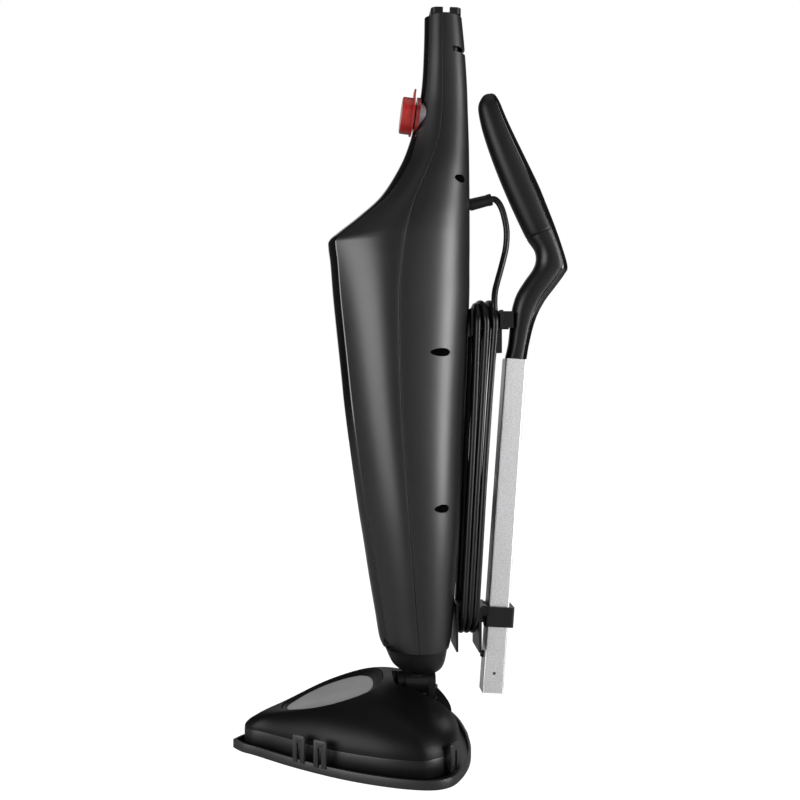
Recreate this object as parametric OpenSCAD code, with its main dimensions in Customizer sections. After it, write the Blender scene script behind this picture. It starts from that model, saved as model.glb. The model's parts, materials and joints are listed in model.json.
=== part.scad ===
// Upright steam mop with its handle parked at the back. Millimetres, +Z up, front towards -Y.

/* [Housing] */
// Height of the housing from its lower edge to its top rim
body_h = 646; // [540:1:780]
// Height of the housing's lower edge above the floor
body_z0 = 101; // [99:1:115]
// Widest width of the housing
body_w = 104; // [88:1:126]
// Wall of the housing shells
wall = 2.2; // [1.6:0.1:2.8]
// Thickness of the glossy front panel
panel_t = 1.8; // [1.2:0.1:2.4]
// Gap at the joint lines between shells
seam = 0.25; // [0.1:0.05:0.5]

/* [Handle] */
// Outside width of the square handle tube
tube_w = 22; // [18:0.5:24]
// Wall of the handle tube
tube_wall = 1.2; // [0.8:0.1:2]
// Lean of the parked handle tube in degrees
tube_lean = 4.1; // [3:0.1:5]
// Height of the parked tube's lower end above the floor
tube_z0 = 52; // [40:1:60]
// Distance of the tube's lower end behind the middle of the mop
tube_y0 = 92.6; // [88:0.1:100]
// Clearance on each side of the tube in its socket and ring
tube_gap = 0.3; // [0.15:0.05:0.6]
// Depth of the handle socket in the neck
socket_d = 76; // [60:1:90]
// Radius of the snap button
snap_r = 3.6; // [2.5:0.1:4.5]
// How far the snap button stands out of the tube
snap_out = 3; // [2:0.1:3.5]
// Height of the snap button above the tube's lower end
snap_z = 37.5; // [30:0.5:50]

/* [Cord brackets] */
// Height of the middle of the upper bracket arm
hook_hi = 436; // [410:1:440]
// Height of the middle of the lower bracket arm
hook_lo = 134; // [125:1:150]
// Half width of the bracket arms that the cord is wound on
arm_hw = 15.6; // [12:0.1:16]
// Diameter of the cord
cord_d = 6.5; // [5:0.1:7]
// Wall of the ring that holds the tube
ring_wall = 3; // [2:0.1:4]

/* [Swivel] */
// Height of the tilt axle above the floor
tilt_z = 44; // [40:0.5:46]
// Radius of the tilt axle
axle_r = 4; // [3:0.1:4.6]
// Height of the roll barrel above the tilt axle
roll_dz = 20; // [19.6:0.1:20.3]
// Radius of the roll barrel
barrel_r = 9.4; // [8:0.1:9.8]
// Length of the sleeve that turns on the barrel
sleeve_l = 23; // [22.4:0.1:26]
// Running clearance on radius of the swivel pins
run = 0.05; // [0.02:0.01:0.1]
// Radius of the stem between swivel and housing
stem_r = 11; // [9:0.1:11.2]

/* [Filler cap] */
// Radius of the cap knob
cap_r = 18.6; // [15:0.1:19.5]
// Length of the cap knob
cap_l = 10.6; // [8:0.1:14]
// Height of the cap axis at the neck
cap_z = 645; // [635:1:655]
// Upward tilt of the cap axis in degrees
cap_tilt = 6.5; // [0:0.5:10]

/* [Floor head] */
// Height of the glider tray's rim
rim_h = 9; // [6:0.5:9.5]
// Thickness of the glider tray's rim
rim_t = 2.6; // [2:0.1:3.4]
// Thickness of the glider tray's floor
floor_t = 2; // [1.5:0.1:2.4]
// Height where the base tub meets the cover
deck_z = 21; // [19:0.5:21.4]
// Wall of the head's mouldings
head_wall = 2.4; // [1.8:0.1:2.8]
// Half width of the recess that holds the swivel
recess_hw = 26.6; // [26:0.1:29]
// Radius of each plug pin
pin_r = 2.4; // [2:0.1:3]

/* [Hidden] */
$fn = 48;
lean_c = cos(tube_lean);
lean_s = sin(tube_lean);
swy = 14.5;                       // middle of the swivel along Y
roll_z = tilt_z + roll_dz;
cheek_r = min(barrel_r + 2, body_z0 - 26.8 - roll_z); // stays under the skirt as it rolls
sock_y = 44;                      // middle of the handle socket along Y
body_z1 = body_z0 + body_h;
sock_o = tube_w / 2 + tube_gap;   // half width of the socket's bore
snap_in_z = body_z1 + 4 - socket_d + snap_z;

// Height, front, joint line, back, half width, half width of the front panel
ST = [[101, -20, 14, 48, 40, 14], [111, -24, 13, 50, 41, 15], [135, -28, 11, 52.5, 43, 16],
      [172, -34.3, 8, 55, 46.5, 17], [209, -40, 5, 58, 49, 18], [250, -46.5, 2, 60, 50.5, 19],
      [334, -58, -4, 63, 51, 20], [393, -64.5, -6.5, 66, 52, 21], [455, -71, -7, 69, 52, 22],
      [492, -74, -4, 69.3, 50, 22.5], [508, -76, -1.8, 69.5, 48.7, 22.5], [516, -75.4, -0.6, 69.5, 48, 22],
      [524, -67, 1.2, 69.5, 47.2, 21.5], [542, -44.5, 6, 69.5, 44, 20], [563, -22, 13.5, 69.5, 39, 18],
      [592, -3.5, 26, 69.3, 32, 15], [617, 7, 35, 69, 26, 12.5], [650, 16, 39.5, 68, 21, 11],
      [680, 20.5, 40, 67, 19, 10], [717, 22.4, 40, 64.5, 18, 9.5], [747, 23, 40, 61.5, 17.5, 9]];

// Glider outline, tub outline and dish outline, from the tip round one side to the rear
TR = [[0, -172.5], [13, -163], [25, -148], [58.7, -109], [91.2, -63], [112.8, -20], [122, 14],
      [117, 34], [99.8, 47], [72, 58.6], [40, 65.5], [0, 68]];
TB = [[0, -161], [10, -153], [20, -138], [48, -104], [73, -71], [95.2, -28.5], [105, 3.3],
      [104, 18], [92, 35], [70, 47.4], [38, 54], [0, 56]];
TD = [[0, -124], [9, -122], [17, -115], [31, -98], [40, -80], [43.5, -62], [42.5, -46],
      [38, -34], [29, -26], [19, -22], [9, -20.3], [0, -20]];

// Front and back edge of the bent grip and its half width, from the tube up
GR = [[[107.2, 396.5], [129.6, 395.5], 11], [[110.6, 412], [132, 410], 11.4], [[112.8, 432], [136.5, 429], 12],
      [[114.8, 448], [142, 444], 12.6], [[119.5, 463], [150, 458], 13.2], [[128, 477], [160, 471], 13.8],
      [[136.5, 489], [169.5, 484], 14.3], [[140, 499], [172.8, 491.5], 14.8], [[138.5, 509], [168.5, 508], 15],
      [[130.6, 520.5], [160, 532.5], 15.4], [[121.3, 539], [152, 552.5], 16], [[111.5, 560], [142.5, 575.5], 16.2],
      [[102, 582], [132, 597], 16], [[93, 605], [121.5, 618], 15.4], [[85.5, 627], [112, 637.5], 14.4],
      [[81, 644], [106, 651], 13], [[79.2, 658], [101.5, 662], 10.5], [[83, 667], [97.5, 669], 6], [[86.5, 670.2], [94.8, 671.2], 2.6]];

// Route of the lead from the boot into the winding, and of the tail to the plug
LEAD = [[0, 89.7, 560.6], [0, 94.6, 561.9], [0, 98, 560.6], [0, 101.6, 556.4], [0, 105.2, 548], [0, 108.2, 535],
        [0, 109, 524], [0.5, 107.9, 511], [2, 105, 499], [5, 101.4, 487], [9, 97.6, 475.5], [13.5, 94.2, 464]];
TAIL = [[-33.5, 76, 150], [-35, 75, 158], [-38, 73, 168], [-42, 70.5, 178], [-46, 68, 188], [-48, 66.5, 197], [-48.5, 66, 205]];

function cr(a, b, c, d, t) = 0.5 * (2 * b + (c - a) * t + (2 * a - 5 * b + 4 * c - d) * t * t
                                    + (3 * b - a - 3 * c + d) * t * t * t);
function spline(P, k) = let (n = len(P)) concat([for (i = [0 : n - 2], j = [0 : k - 1])
    cr(P[max(i - 1, 0)], P[i], P[i + 1], P[min(i + 2, n - 1)], j / k)], [P[n - 1]]);
function rev(v) = [for (i = [len(v) - 1 : -1 : 0]) v[i]];
function mir(v) = [for (p = v) [-p[0], p[1]]];
function cut(v, a, b) = [for (i = [a : b]) v[i]];
function bez(a, b, c, n) = [for (i = [0 : n]) let (t = i / n) (1 - t) * (1 - t) * a + 2 * t * (1 - t) * b + t * t * c];
function up(v, z) = [for (p = v) [p[0], p[1], z]];

// Housing sections
function real_z(z) = body_z0 + (z - 101) * body_h / 646;
function table_z(z) = 101 + (z - body_z0) * 646 / body_h;
function at(z, k) = lookup(table_z(z), [for (s = ST) [s[0], s[k]]]);
function rear(z) = at(z, 3);
kw = body_w / 104;
LV = spline(ST, 2);
pd = 4;
function side_half(s, t, e) = let (W = s[4] * kw - t, yp = s[1] + pd)
    bez([W, s[2]], [W, s[2] - 0.55 * (s[2] - yp)], [s[5] - 0.4 * t, yp + 0.8 * t + e], 7);
function face_half(s, x, d) = bez([s[5] - x, s[1] + pd + d], [(s[5] - x) * 0.6, s[1] + d], [0, s[1] + d], 4);
function rear_half(s, t, e) = [for (i = [0 : 10]) let (a = 9 * i)
    [(s[4] * kw - t) * pow(max(cos(a), 0), 0.87), s[2] + e + (s[3] - t - s[2] - e) * pow(sin(a), 0.87)]];
function there_back(h) = concat(mir(h), rev(cut(h, 0, len(h) - 2)));
function front_ring(s) = up(concat(
    there_back(concat(side_half(s, 0, 0), face_half(s, 0.1, panel_t + seam))),
    rev(there_back(concat(side_half(s, wall, panel_t + 0.6), face_half(s, 1.6 + wall * 0.6, panel_t + seam + wall))))),
    real_z(s[0]));
function panel_ring(s) = up(concat(there_back(face_half(s, seam + 0.1, 0)),
    rev(there_back(face_half(s, seam + 0.1, panel_t)))), real_z(s[0]));
function rear_ring(s) = let (o = rear_half(s, 0, seam), n = rear_half(s, wall, seam))
    up(concat(o, rev(mir(cut(o, 0, 9))), mir(n), rev(cut(n, 0, 9))), real_z(s[0]));
// A closed superellipse: z, front, middle, back, half width, inset
function oval(z, yf, ym, yb, w, t) = [for (i = [0 : 35]) let (a = 10 * i, c = cos(a), s = sin(a))
    [(w - t) * sign(c) * pow(abs(c), 0.87),
     ym + (s < 0 ? ym - yf - t : yb - ym - t) * sign(s) * pow(abs(s), 0.87), z]];

module skin(R, loop = false, strip = false) {
    n = len(R[0]);
    m = len(R);
    side = [for (i = [0 : m - (loop ? 1 : 2)], j = [0 : n - 1])
        let (a = i * n + j, b = i * n + (j + 1) % n, c = ((i + 1) % m) * n + (j + 1) % n, d = ((i + 1) % m) * n + j)
        each [[a, d, c], [a, c, b]]];
    o = (m - 1) * n;
    caps = loop ? [] : strip ? [for (j = [0 : n / 2 - 2]) let (c = n - 2 - j, d = n - 1 - j, e = j < n / 4 - 0.5 ? d : c,
            f = j < n / 4 - 0.5 ? j + 1 : j) each [[j, j + 1, e], [f, c, d], [o + e, o + j + 1, o + j], [o + d, o + c, o + f]]]
        : [[for (j = [0 : n - 1]) j], [for (j = [n - 1 : -1 : 0]) o + j]];
    polyhedron(points = [for (r = R) each r], faces = concat(side, caps), convexity = 8);
}
// A round tube along a list of points
module tube_along(P, r, n = 10) {
    m = len(P);
    skin([for (i = [0 : m - 1])
        let (q = P[min(i + 1, m - 1)] - P[max(i - 1, 0)], t = q / norm(q), u0 = cross([0, 0.2, 1], t),
             s0 = abs(t[2]) > 0.95 ? cross([1, 0, 0], t) : u0, u = s0 / norm(s0), v = cross(t, u))
        [for (j = [0 : n - 1]) P[i] + r * (u * cos(j * 360 / n) + v * sin(j * 360 / n))]]);
}
module rounded(w, d, r) {
    union() {
        square([w - 2 * r, d], center = true);
        square([w, d - 2 * r], center = true);
        for (x = [-1, 1], y = [-1, 1]) translate([x * (w / 2 - r), y * (d / 2 - r)]) circle(r, $fn = 32);
    }
}
module box(x0, x1, y0, y1, z0, z1) { translate([x0, y0, z0]) cube([x1 - x0, y1 - y0, z1 - z0]); }
module ycyl(y0, y1, z, r, x = 0, y = 0) { translate([x, y0, z]) rotate([-90, 0, 0]) cylinder(h = y1 - y0, r = r); }
module xcyl(x0, x1, y, z, r) { translate([x0, y, z]) rotate([0, 90, 0]) cylinder(h = x1 - x0, r = r); }
module on_tube() { translate([0, tube_y0, tube_z0]) rotate([-tube_lean, 0, 0]) children(); }

// Housing
module socket_space(g) {
    h = sock_o + 1.2 + g;
    translate([0, sock_y, body_z1 - socket_d - 1]) linear_extrude(socket_d + 9)
        polygon([[h, h - 3], [h - 3, h], [3 - h, h], [-h, h - 3], [-h, 3 - h], [3 - h, -h], [h - 3, -h], [h, 3 - h]]);
}
module front_shell() {
    color([0.16, 0.16, 0.17]) difference() {
        skin([for (s = LV) front_ring(s)], strip = true);
        cap_axis() translate([0, 0, -20]) cylinder(h = 40, r = 16.2, $fn = 12);
    }
}
module front_panel() {
    color([0.03, 0.03, 0.03]) difference() {
        skin([for (s = LV) panel_ring(s)], strip = true);
        cap_axis() translate([0, 0, -20]) cylinder(h = 40, r = 15.2 + seam);
    }
}
SCR = [[577, 0.72], [401, 0.86], [246, 0.845]];
module rear_shell() {
    color([0.2, 0.2, 0.2]) difference() {
        skin([for (s = LV) rear_ring(s)], strip = true);
        socket_space(seam);
        box(-30, 30, 50.5, 90, snap_in_z - 3, snap_in_z + 3);
        for (s = SCR, m = [-1, 1]) let (z = real_z(s[0])) ycyl(at(z, 2) + 5, 90, z, 4.2, m * at(z, 4) * kw * s[1]);
        boot_axis() translate([0, 0, -12]) cylinder(h = 20, r = 5.4 + seam);
    }
}
module housing_screws() {
    color([0.5, 0.5, 0.52]) for (s = SCR, m = [-1, 1]) let (z = real_z(s[0]), y = at(z, 2), x = m * at(z, 4) * kw * s[1]) {
        difference() { ycyl(y + 6, y + 9, z, 3.4, x); translate([x - 0.5, y + 7.6, z - 3.6]) cube([1, 2, 7.2]);
                       translate([x - 3.6, y + 7.6, z - 0.5]) cube([7.2, 2, 1]); }
        ycyl(y - 2, y + 6, z, 1.7, x);
    }
}
module screw_posts() {
    color([0.12, 0.12, 0.12]) for (s = SCR, m = [-1, 1])
        let (z = real_z(s[0]), y = at(z, 2), x = m * at(z, 4) * kw * s[1])
        difference() { ycyl(y - 2, y + 5.9, z, 3.9, x); ycyl(y - 3, y + 7, z, 1.72, x); }
}
module handle_socket() {
    color([0.05, 0.05, 0.05]) difference() {
        union() {
            translate([0, sock_y, body_z1 - socket_d + 1]) linear_extrude(socket_d) rounded(2 * sock_o + 2.4, 2 * sock_o + 2.4, 4);
            translate([0, sock_y, body_z1 + 0.2]) linear_extrude(6.8) rounded(31, 31, 6);
        }
        translate([-sock_o, sock_y - sock_o, body_z1 + 4 - socket_d]) cube([2 * sock_o, 2 * sock_o, socket_d + 10]);
        for (m = [-1, 1]) translate([m * 14 - 4, sock_y - 3.6, body_z1 + 1.6]) cube([8, 7.2, 10]);
        ycyl(sock_y, 80, snap_in_z, snap_r + 0.6);
    }
}
SK = [[100.8, -18.3, 14.2, 46.6, 38.2], [98, -17, 14.2, 46, 37], [90, -13.6, 14.3, 44.6, 34], [84, -10, 14.4, 43.2, 30.5],
      [78.5, -3.5, 14.5, 40.5, 25], [74.5, 1.5, 14.5, 36, 18]];
module bottom_skirt() {
    color([0.1, 0.1, 0.1]) difference() {
        skin(rev([for (s = SK) oval(s[0] + body_z0 - 101, s[1], s[2], s[3], s[4], 0)]));
        skin(rev([for (s = [SK[2], SK[3], SK[4], [74, 1.9, 14.5, 35.6, 17.6]]) oval(s[0] + body_z0 - 101, s[1], s[2], s[3], s[4], 2.4)]));
        translate([0, swy, 60]) cylinder(h = 60, r = stem_r + run);
    }
}
// Internal parts: tank, pump, boiler, hose
module water_tank() {
    color([0.55, 0.6, 0.65]) difference() {
        skin([for (s = [[440, -50, -2, 50, 38], [470, -54, -2, 52, 39], [500, -52, 0, 52, 38], [525, -40, 4, 52, 36],
                        [550, -20, 12, 50, 30], [575, 2, 24, 48, 22], [600, 14, 34, 54, 14]])
             oval(real_z(s[0]), s[1], s[2], s[3] , s[4], 0)]);
        skin([for (s = [[440, -50, -2, 50, 38], [470, -54, -2, 52, 39], [500, -52, 0, 52, 38], [525, -40, 4, 52, 36],
                        [550, -20, 12, 50, 30], [575, 2, 24, 48, 22], [600, 14, 34, 54, 14]])
             oval(real_z(s[0] * 0.984 + 10.5), s[1], s[2], s[3], s[4], 2.5)]);
    }
}
module filler_neck() {
    color([0.45, 0.45, 0.47]) difference() {
        cap_axis() translate([0, 0, -19]) cylinder(h = 21.5, r = 15.2);
        cap_axis() translate([0, 0, -16.5]) cylinder(h = 30, r = 12.6);
    }
}
module boiler() {
    color([0.7, 0.7, 0.72]) translate([0, 6, real_z(300)]) {
        cylinder(h = 96, r = 32);
        translate([0, 0, -12]) cylinder(h = 12, r = 9);
        translate([0, 0, 96]) cylinder(h = 8, r = 6);
    }
}
module pump() {
    color([0.25, 0.25, 0.28]) translate([0, 8, real_z(188)]) {
        translate([0, 0, 34]) cylinder(h = 38, r = 15);
        translate([-19, -17, 0]) cube([38, 34, 34]);
    }
}
module steam_hose() {
    color([0.6, 0.55, 0.5]) tube_along([[0, -14, real_z(285)], [0, -18, real_z(270)], [0, -19, real_z(240)], [0, -19, real_z(200)],
        [0, -14, real_z(165)], [0, -2, real_z(145)], [0, 9, body_z0 + 31], [0, swy, body_z0 + 21], [0, swy, body_z0 + 14.5]], 4.5, 10);
}

// Filler cap: the axis points forward and a little up
module cap_axis() { translate([0, 15.3, cap_z]) rotate([90 - cap_tilt, 0, 0]) children(); }
module cap_knob() {
    color([0.75, 0.06, 0.05]) cap_axis() {
        translate([0, 0, 6.2]) cylinder(h = cap_l - 1, r = cap_r);
        translate([0, 0, 5.2 + cap_l]) cylinder(h = 1, r1 = cap_r, r2 = cap_r - 1);
        translate([0, 0, -8]) cylinder(h = 14.2, r = 12.2);
    }
}
module cap_flange() {
    color([0.7, 0.08, 0.07]) cap_axis() difference() {
        union() {
            translate([0, 0, 4.2]) cylinder(h = 1.9, r = 20.4);
            translate([-8, 10, 4.2]) cube([16, 16.5, 1.9]);
        }
        translate([0, 0, -1]) cylinder(h = 10, r = 12.3);
    }
}
module cap_seat() {
    color([0.35, 0.03, 0.04]) difference() {
        cap_axis() translate([0, 0, -1.6]) cylinder(h = 4, r = 19.6);
        cap_axis() translate([0, 0, -5]) cylinder(h = 12, r = 15.2 + 0.1);
        skin([for (s = LV) up(concat(there_back(concat([[s[4] * kw + 0.2, s[2]]], [for (p = side_half(s, -0.2, -0.2)) p],
             face_half(s, -0.3, -0.25))), [[0, s[3]]]), real_z(s[0]))]);
    }
}

// Cord boot, brackets
module boot_axis() { translate([0, rear(552) - 0.6, 555]) rotate([-90 + 15, 0, 0]) children(); }
module cord_boot() {
    color([0.06, 0.06, 0.06]) boot_axis() difference() {
        union() {
            translate([0, 0, 1.6]) cylinder(h = 22.4, r1 = 6.3, r2 = 5.7);
            translate([0, 0, -8]) cylinder(h = 10, r = 5.3);
            translate([0, 0, 21]) cylinder(h = 3.6, r = 6.2);
            translate([0, 0, -8]) cylinder(h = 3, r = 7.6);
        }
        translate([0, 0, 20]) cylinder(h = 10, r = cord_d / 2 + 0.1);
    }
}
module upper_bracket() {
    y0 = rear(hook_hi);
    color([0.04, 0.04, 0.04]) {
        intersection() {
            box(-arm_hw, arm_hw, y0 + 0.4, 104, hook_hi - 8.5, hook_hi + 8.5);
            ycyl(y0, 105, hook_hi - 7.6, arm_hw);
        }
        for (m = [-1, 1]) translate([m * (tube_w / 2 + 1.6 + tube_gap) - 1.6, 100, hook_hi - 8.5]) cube([3.2, 13.4, 17]);
        box(-22, 22, y0 + 0.4, y0 + 2.4, hook_hi - 17, hook_hi + 11);
        box(-6, 6, 97.6, 103, hook_hi - 34, hook_hi);
        box(-24, 24, 97.9, 101, hook_hi - 8.5, hook_hi + 9);
    }
}
module lower_bracket() {
    ry = tube_y0 + (hook_lo - 4 - tube_z0) * tan(tube_lean);
    y0 = rear(hook_lo);
    color([0.04, 0.04, 0.04]) difference() {
        union() {
            intersection() {
                box(-arm_hw, arm_hw, y0 + 0.9, ry - sock_o - 0.6, hook_lo - 9, hook_lo + 9);
                ycyl(y0, ry, hook_lo + 7, arm_hw);
            }
            box(-22, 22, y0 + 0.9, y0 + 2.9, hook_lo - 36, hook_lo + 12);
            box(-22, 22, 76.5, 79.3, hook_lo - 37, hook_lo + 9);
            on_tube() translate([0, (ring_wall - 2.6) / 2, (hook_lo - 13.5 - tube_z0) / lean_c]) linear_extrude(20.5)
                translate([0, 0.8]) rounded(2 * (sock_o + ring_wall), 2 * (sock_o + ring_wall) + 1.6, 3);
        }
        on_tube() translate([-sock_o, -sock_o, 0]) cube([2 * sock_o, 2 * sock_o, 200]);
        on_tube() translate([-snap_r - 0.8, -sock_o - snap_out - 0.8, 0]) cube([2 * snap_r + 1.6, 10, 200]);
    }
}

// Handle
module handle_tube() {
    l = 343.6 / lean_c;
    color([0.75, 0.76, 0.78]) on_tube() difference() {
        linear_extrude(l) rounded(tube_w, tube_w, 2);
        translate([0, 0, -1]) linear_extrude(l + 2) rounded(tube_w - 2 * tube_wall, tube_w - 2 * tube_wall, 1);
        translate([0, 0, snap_z]) rotate([90, 0, 0]) cylinder(h = tube_w, r = snap_r + 0.1);
        translate([-tube_w, 0, 20.5]) rotate([0, 90, 0]) cylinder(h = 2 * tube_w, r = 1.6);
    }
}
module snap_button() {
    color([0.1, 0.1, 0.1]) on_tube() translate([0, 0, snap_z]) rotate([90, 0, 0]) {
        translate([0, 0, tube_w / 2 - 5]) cylinder(h = 4 + snap_out, r = snap_r);
        translate([0, 0, tube_w / 2 + snap_out - 1]) cylinder(h = 1, r1 = snap_r, r2 = snap_r - 0.8);
    }
}
module snap_spring() {
    color([0.6, 0.6, 0.62]) on_tube() difference() {
        translate([-3, -tube_w / 2 + tube_wall + 8, snap_z - 6]) cube([6, tube_w / 2, 30]);
        translate([-4, -tube_w / 2 + tube_wall + 7, snap_z - 7]) cube([8, tube_w / 2 + 0.4, 30.4]);
    }
}
// Grip sections: depth runs from front edge to back edge
function grip_pt(g, u, v) = let (a = g[0], b = g[1], m = (a + b) / 2, d = (b - a) / 2) [v * g[2], m[0] + d[0] * u, m[1] + d[1] * u];
function grip_front(g, k, n) = [for (i = [0 : n]) let (a = (180 - k) * (2 * i / n - 1), u = -cos(a), v = sin(a))
    grip_pt(g, sign(u) * pow(abs(u), 0.9), sign(v) * pow(abs(v), 0.9))];
function grip_back(g, k, n) = [for (i = [0 : n]) let (a = k * (2 * i / n - 1), u = cos(a), v = -sin(a))
    grip_pt(g, sign(u) * pow(abs(u), 0.9), sign(v) * pow(abs(v), 0.9))];
GV = spline(GR, 2);
module grip_elbow() { color([0.05, 0.05, 0.05]) skin([for (i = [0 : 18]) grip_front(GV[i], 62, 18)]); }
module grip_soft() { color([0.12, 0.12, 0.12]) skin([for (i = [18 : len(GV) - 1]) grip_front(let (g = GV[i])
    i > 18 ? g : [g[0] + [-0.1, 0.22], g[1] + [-0.1, 0.22], g[2]], 62, 18)]); }
module grip_spine() { color([0.02, 0.02, 0.02]) skin([for (i = [0 : len(GV) - 1]) grip_back(GV[i], 61.2, 10)]); }
module grip_plug() {
    l = 343.6 / lean_c;
    color([0.3, 0.3, 0.3]) on_tube() translate([0, 0, l - 40])
        linear_extrude(38.9) rounded(tube_w - 2 * tube_wall - 0.1, tube_w - 2 * tube_wall - 0.1, 1);
}

// Cord solids
WT = [72.2, 97.4, hook_hi + 11.8];         // winding: front and back edge, and height, at the upper fold
WB = [57.4, 74.4, hook_lo - 12.4];         // the same at the lower fold
function wind_at(k, x, z) = let (f = (z - WB[2]) / (WT[2] - WB[2])) [x, WB[k] + (WT[k] - WB[k]) * f, z];
function wind_sec(a, side) = let (zc = side > 0 ? WT[2] - 19.4 : WB[2] + 19.4, ri = arm_hw + 0.5, ro = arm_hw + 0.5 + 2 * cord_d - 0.6)
    [wind_at(0, ri * cos(a), zc + ri * sin(a)), wind_at(0, ro * cos(a), zc + ro * sin(a)),
     wind_at(1, ro * cos(a), zc + ro * sin(a)), wind_at(1, ri * cos(a), zc + ri * sin(a))];
module cord_winding() {
    color([0.08, 0.08, 0.08]) skin(rev(concat([for (a = [0 : 15 : 180]) wind_sec(a, 1)], [for (a = [180 : 15 : 360]) wind_sec(a, -1)])), loop = true);
}
module cord_lead() { color([0.08, 0.08, 0.08]) tube_along(LEAD, cord_d / 2, 10); }
module cord_tail() { color([0.08, 0.08, 0.08]) tube_along(TAIL, cord_d / 2, 10); }
module plug_body() {
    color([0.05, 0.05, 0.05]) translate([-48.5, 66, 205.4]) difference() {
        union() {
            cylinder(h = 14, r1 = 4.6, r2 = 9);
            translate([0, 0, 14]) cylinder(h = 10, r1 = 9, r2 = 17.4);
            translate([0, 0, 24]) cylinder(h = 26, r = 17.8);
        }
        for (m = [-1, 1]) translate([0, m * 9.5, 42]) cylinder(h = 20, r = pin_r - 0.38);
        for (m = [-1, 1]) translate([m * 17.8 - 1.5, -3, 34]) cube([3, 6, 30]);
    }
}
module plug_pins() {
    color([0.8, 0.75, 0.55]) translate([-48.5, 66, 205.4]) for (m = [-1, 1]) translate([0, m * 9.5, 42]) {
        cylinder(h = 8.3, r = pin_r - 0.4);
        translate([0, 0, 8.3]) cylinder(h = 17.7, r = pin_r);
        translate([0, 0, 26]) cylinder(h = 1, r1 = pin_r, r2 = pin_r * 0.6);
    }
}

// Swivel
module swivel_stem() {
    color([0.15, 0.15, 0.15]) difference() {
        union() {
            translate([0, swy, roll_z]) cylinder(h = body_z0 + 14 - roll_z, r = stem_r);
            translate([0, swy, body_z0 + 0.2]) cylinder(h = 3, r = stem_r + 4);
            ycyl(swy - sleeve_l / 2, swy + sleeve_l / 2, roll_z, barrel_r + 3.3);
        }
        ycyl(swy - sleeve_l, swy + sleeve_l, roll_z, barrel_r + run);
        translate([0, swy, roll_z]) cylinder(h = 80, r = 5.2);
    }
}
module swivel_block() {
    y0 = swy - sleeve_l / 2 - 0.35;
    y1 = swy + sleeve_l / 2 + 0.35;
    color([0.1, 0.1, 0.1]) difference() {
        union() {
            ycyl(y0 - 7.4, y1 + 7.4, roll_z, barrel_r);
            for (y = [y0 - 7.4, y1]) {
                translate([0, y, 0]) box(-cheek_r, cheek_r, 0, 7.4, tilt_z - 2, roll_z);
                ycyl(y, y + 7.4, roll_z, cheek_r);
            }
            box(-17.8, 17.8, y0 - 7.4, y1 + 7.4, tilt_z - 5.6, roll_z - barrel_r - 4.1);
        }
        xcyl(-30, 30, swy, tilt_z, axle_r + run);
        ycyl(y0 - 5, y1 + 5, roll_z, 5);
        translate([0, swy, roll_z]) cylinder(h = 20, r = 5);
    }
}
module tilt_axle() { color([0.7, 0.7, 0.72]) xcyl(-24.6, 24.6, swy, tilt_z, axle_r); }
module pivot_cradle() {
    color([0.12, 0.12, 0.12]) difference() {
        union() {
            for (m = [-1, 1]) {
                translate([m * 21.4 - 3, swy - 9, deck_z - 1]) cube([6, 18, tilt_z - deck_z + 1]);
                xcyl(m * 21.4 - 3, m * 21.4 + 3, swy, tilt_z, 9);
            }
            box(-25.8, 25.8, -9.4, 49, deck_z - 2.4, deck_z);
            box(-25.8, 25.8, -9.4, -7, deck_z - 1, 52);
        }
        xcyl(-30, 30, swy, tilt_z, axle_r + 0.01);
        translate([0, 40, 0]) cylinder(h = 60, r = 4);
    }
}

// Floor head
function loop_of(P, k) = let (h = spline(P, k), n = len(h)) concat(h, rev(mir(cut(h, 1, n - 2))));
function pull_in(P, t) = let (n = len(P)) [for (i = [0 : n - 1])
    let (q = P[(i + 1) % n] - P[(i + n - 1) % n], l = norm(q)) P[i] + t * [-q[1], q[0]] / l];
OT = loop_of(TR, 3);
OB = loop_of(TB, 3);
OD = loop_of(TD, 3);
CLIPS = [[62, -104.5, 52, 0], [77.5, -84.2, 55, 0], [93, 42.2, 143, 0]];
module clip_shape() {
    rotate([90, 0, 0]) translate([0, 0, -1.2]) linear_extrude(2.4) difference() {
        translate([-7, 0]) square([14, 26]);
        translate([-1.8, -1]) square([3.6, 20]);
    }
    translate([-7, -1.2, 23.6]) cube([14, 3.4, 2.4]);
}
module glider_tray() {
    color([0.13, 0.13, 0.13]) {
        difference() {
            linear_extrude(rim_h) polygon(OT);
            translate([0, 0, floor_t]) linear_extrude(rim_h) polygon(pull_in(OT, rim_t));
            for (i = [-3 : 3]) translate([i * 20 - 4, -60 + abs(i) * 12, -1]) cube([8, 90 - abs(i) * 12, 10]);
        }
        for (c = CLIPS, m = [0, 1]) mirror([m, 0, 0]) translate([c[0], c[1], rim_h - 2.5]) rotate([0, 0, c[2]]) clip_shape();
    }
}
module head_base() {
    color([0.1, 0.1, 0.1]) difference() {
        translate([0, 0, floor_t + 1.4]) linear_extrude(deck_z - floor_t - 1.4) polygon(OB);
        translate([0, 0, floor_t + 4]) linear_extrude(deck_z) polygon(pull_in(OB, head_wall));
        for (i = [-2 : 2], j = [0, 1]) translate([i * 22, -60 + j * 60, -1]) cylinder(h = 20, r = 2.2);
    }
}
module steam_plate() {
    color([0.6, 0.6, 0.62]) difference() {
        translate([0, -20, floor_t + 4.2]) linear_extrude(6) rounded(110, 110, 20);
        for (i = [-2 : 2], j = [0, 1]) translate([i * 22, -60 + j * 60, -1]) cylinder(h = 20, r = 2.6);
    }
}
function rim_z(y) = 40 + 0.3 * (y + 124);
function fall(s) = 0.75 * (1 - sqrt(1 - s * s)) + 0.25 * s;
function cover_pt(i, s, t) = let (a = OD[i], b = OB[i], p = a + (b - a) * s, zr = rim_z(a[1]))
    [p[0], p[1], max(zr + (deck_z + 0.2 - zr) * fall(s) - t, deck_z + 0.2)];
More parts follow.
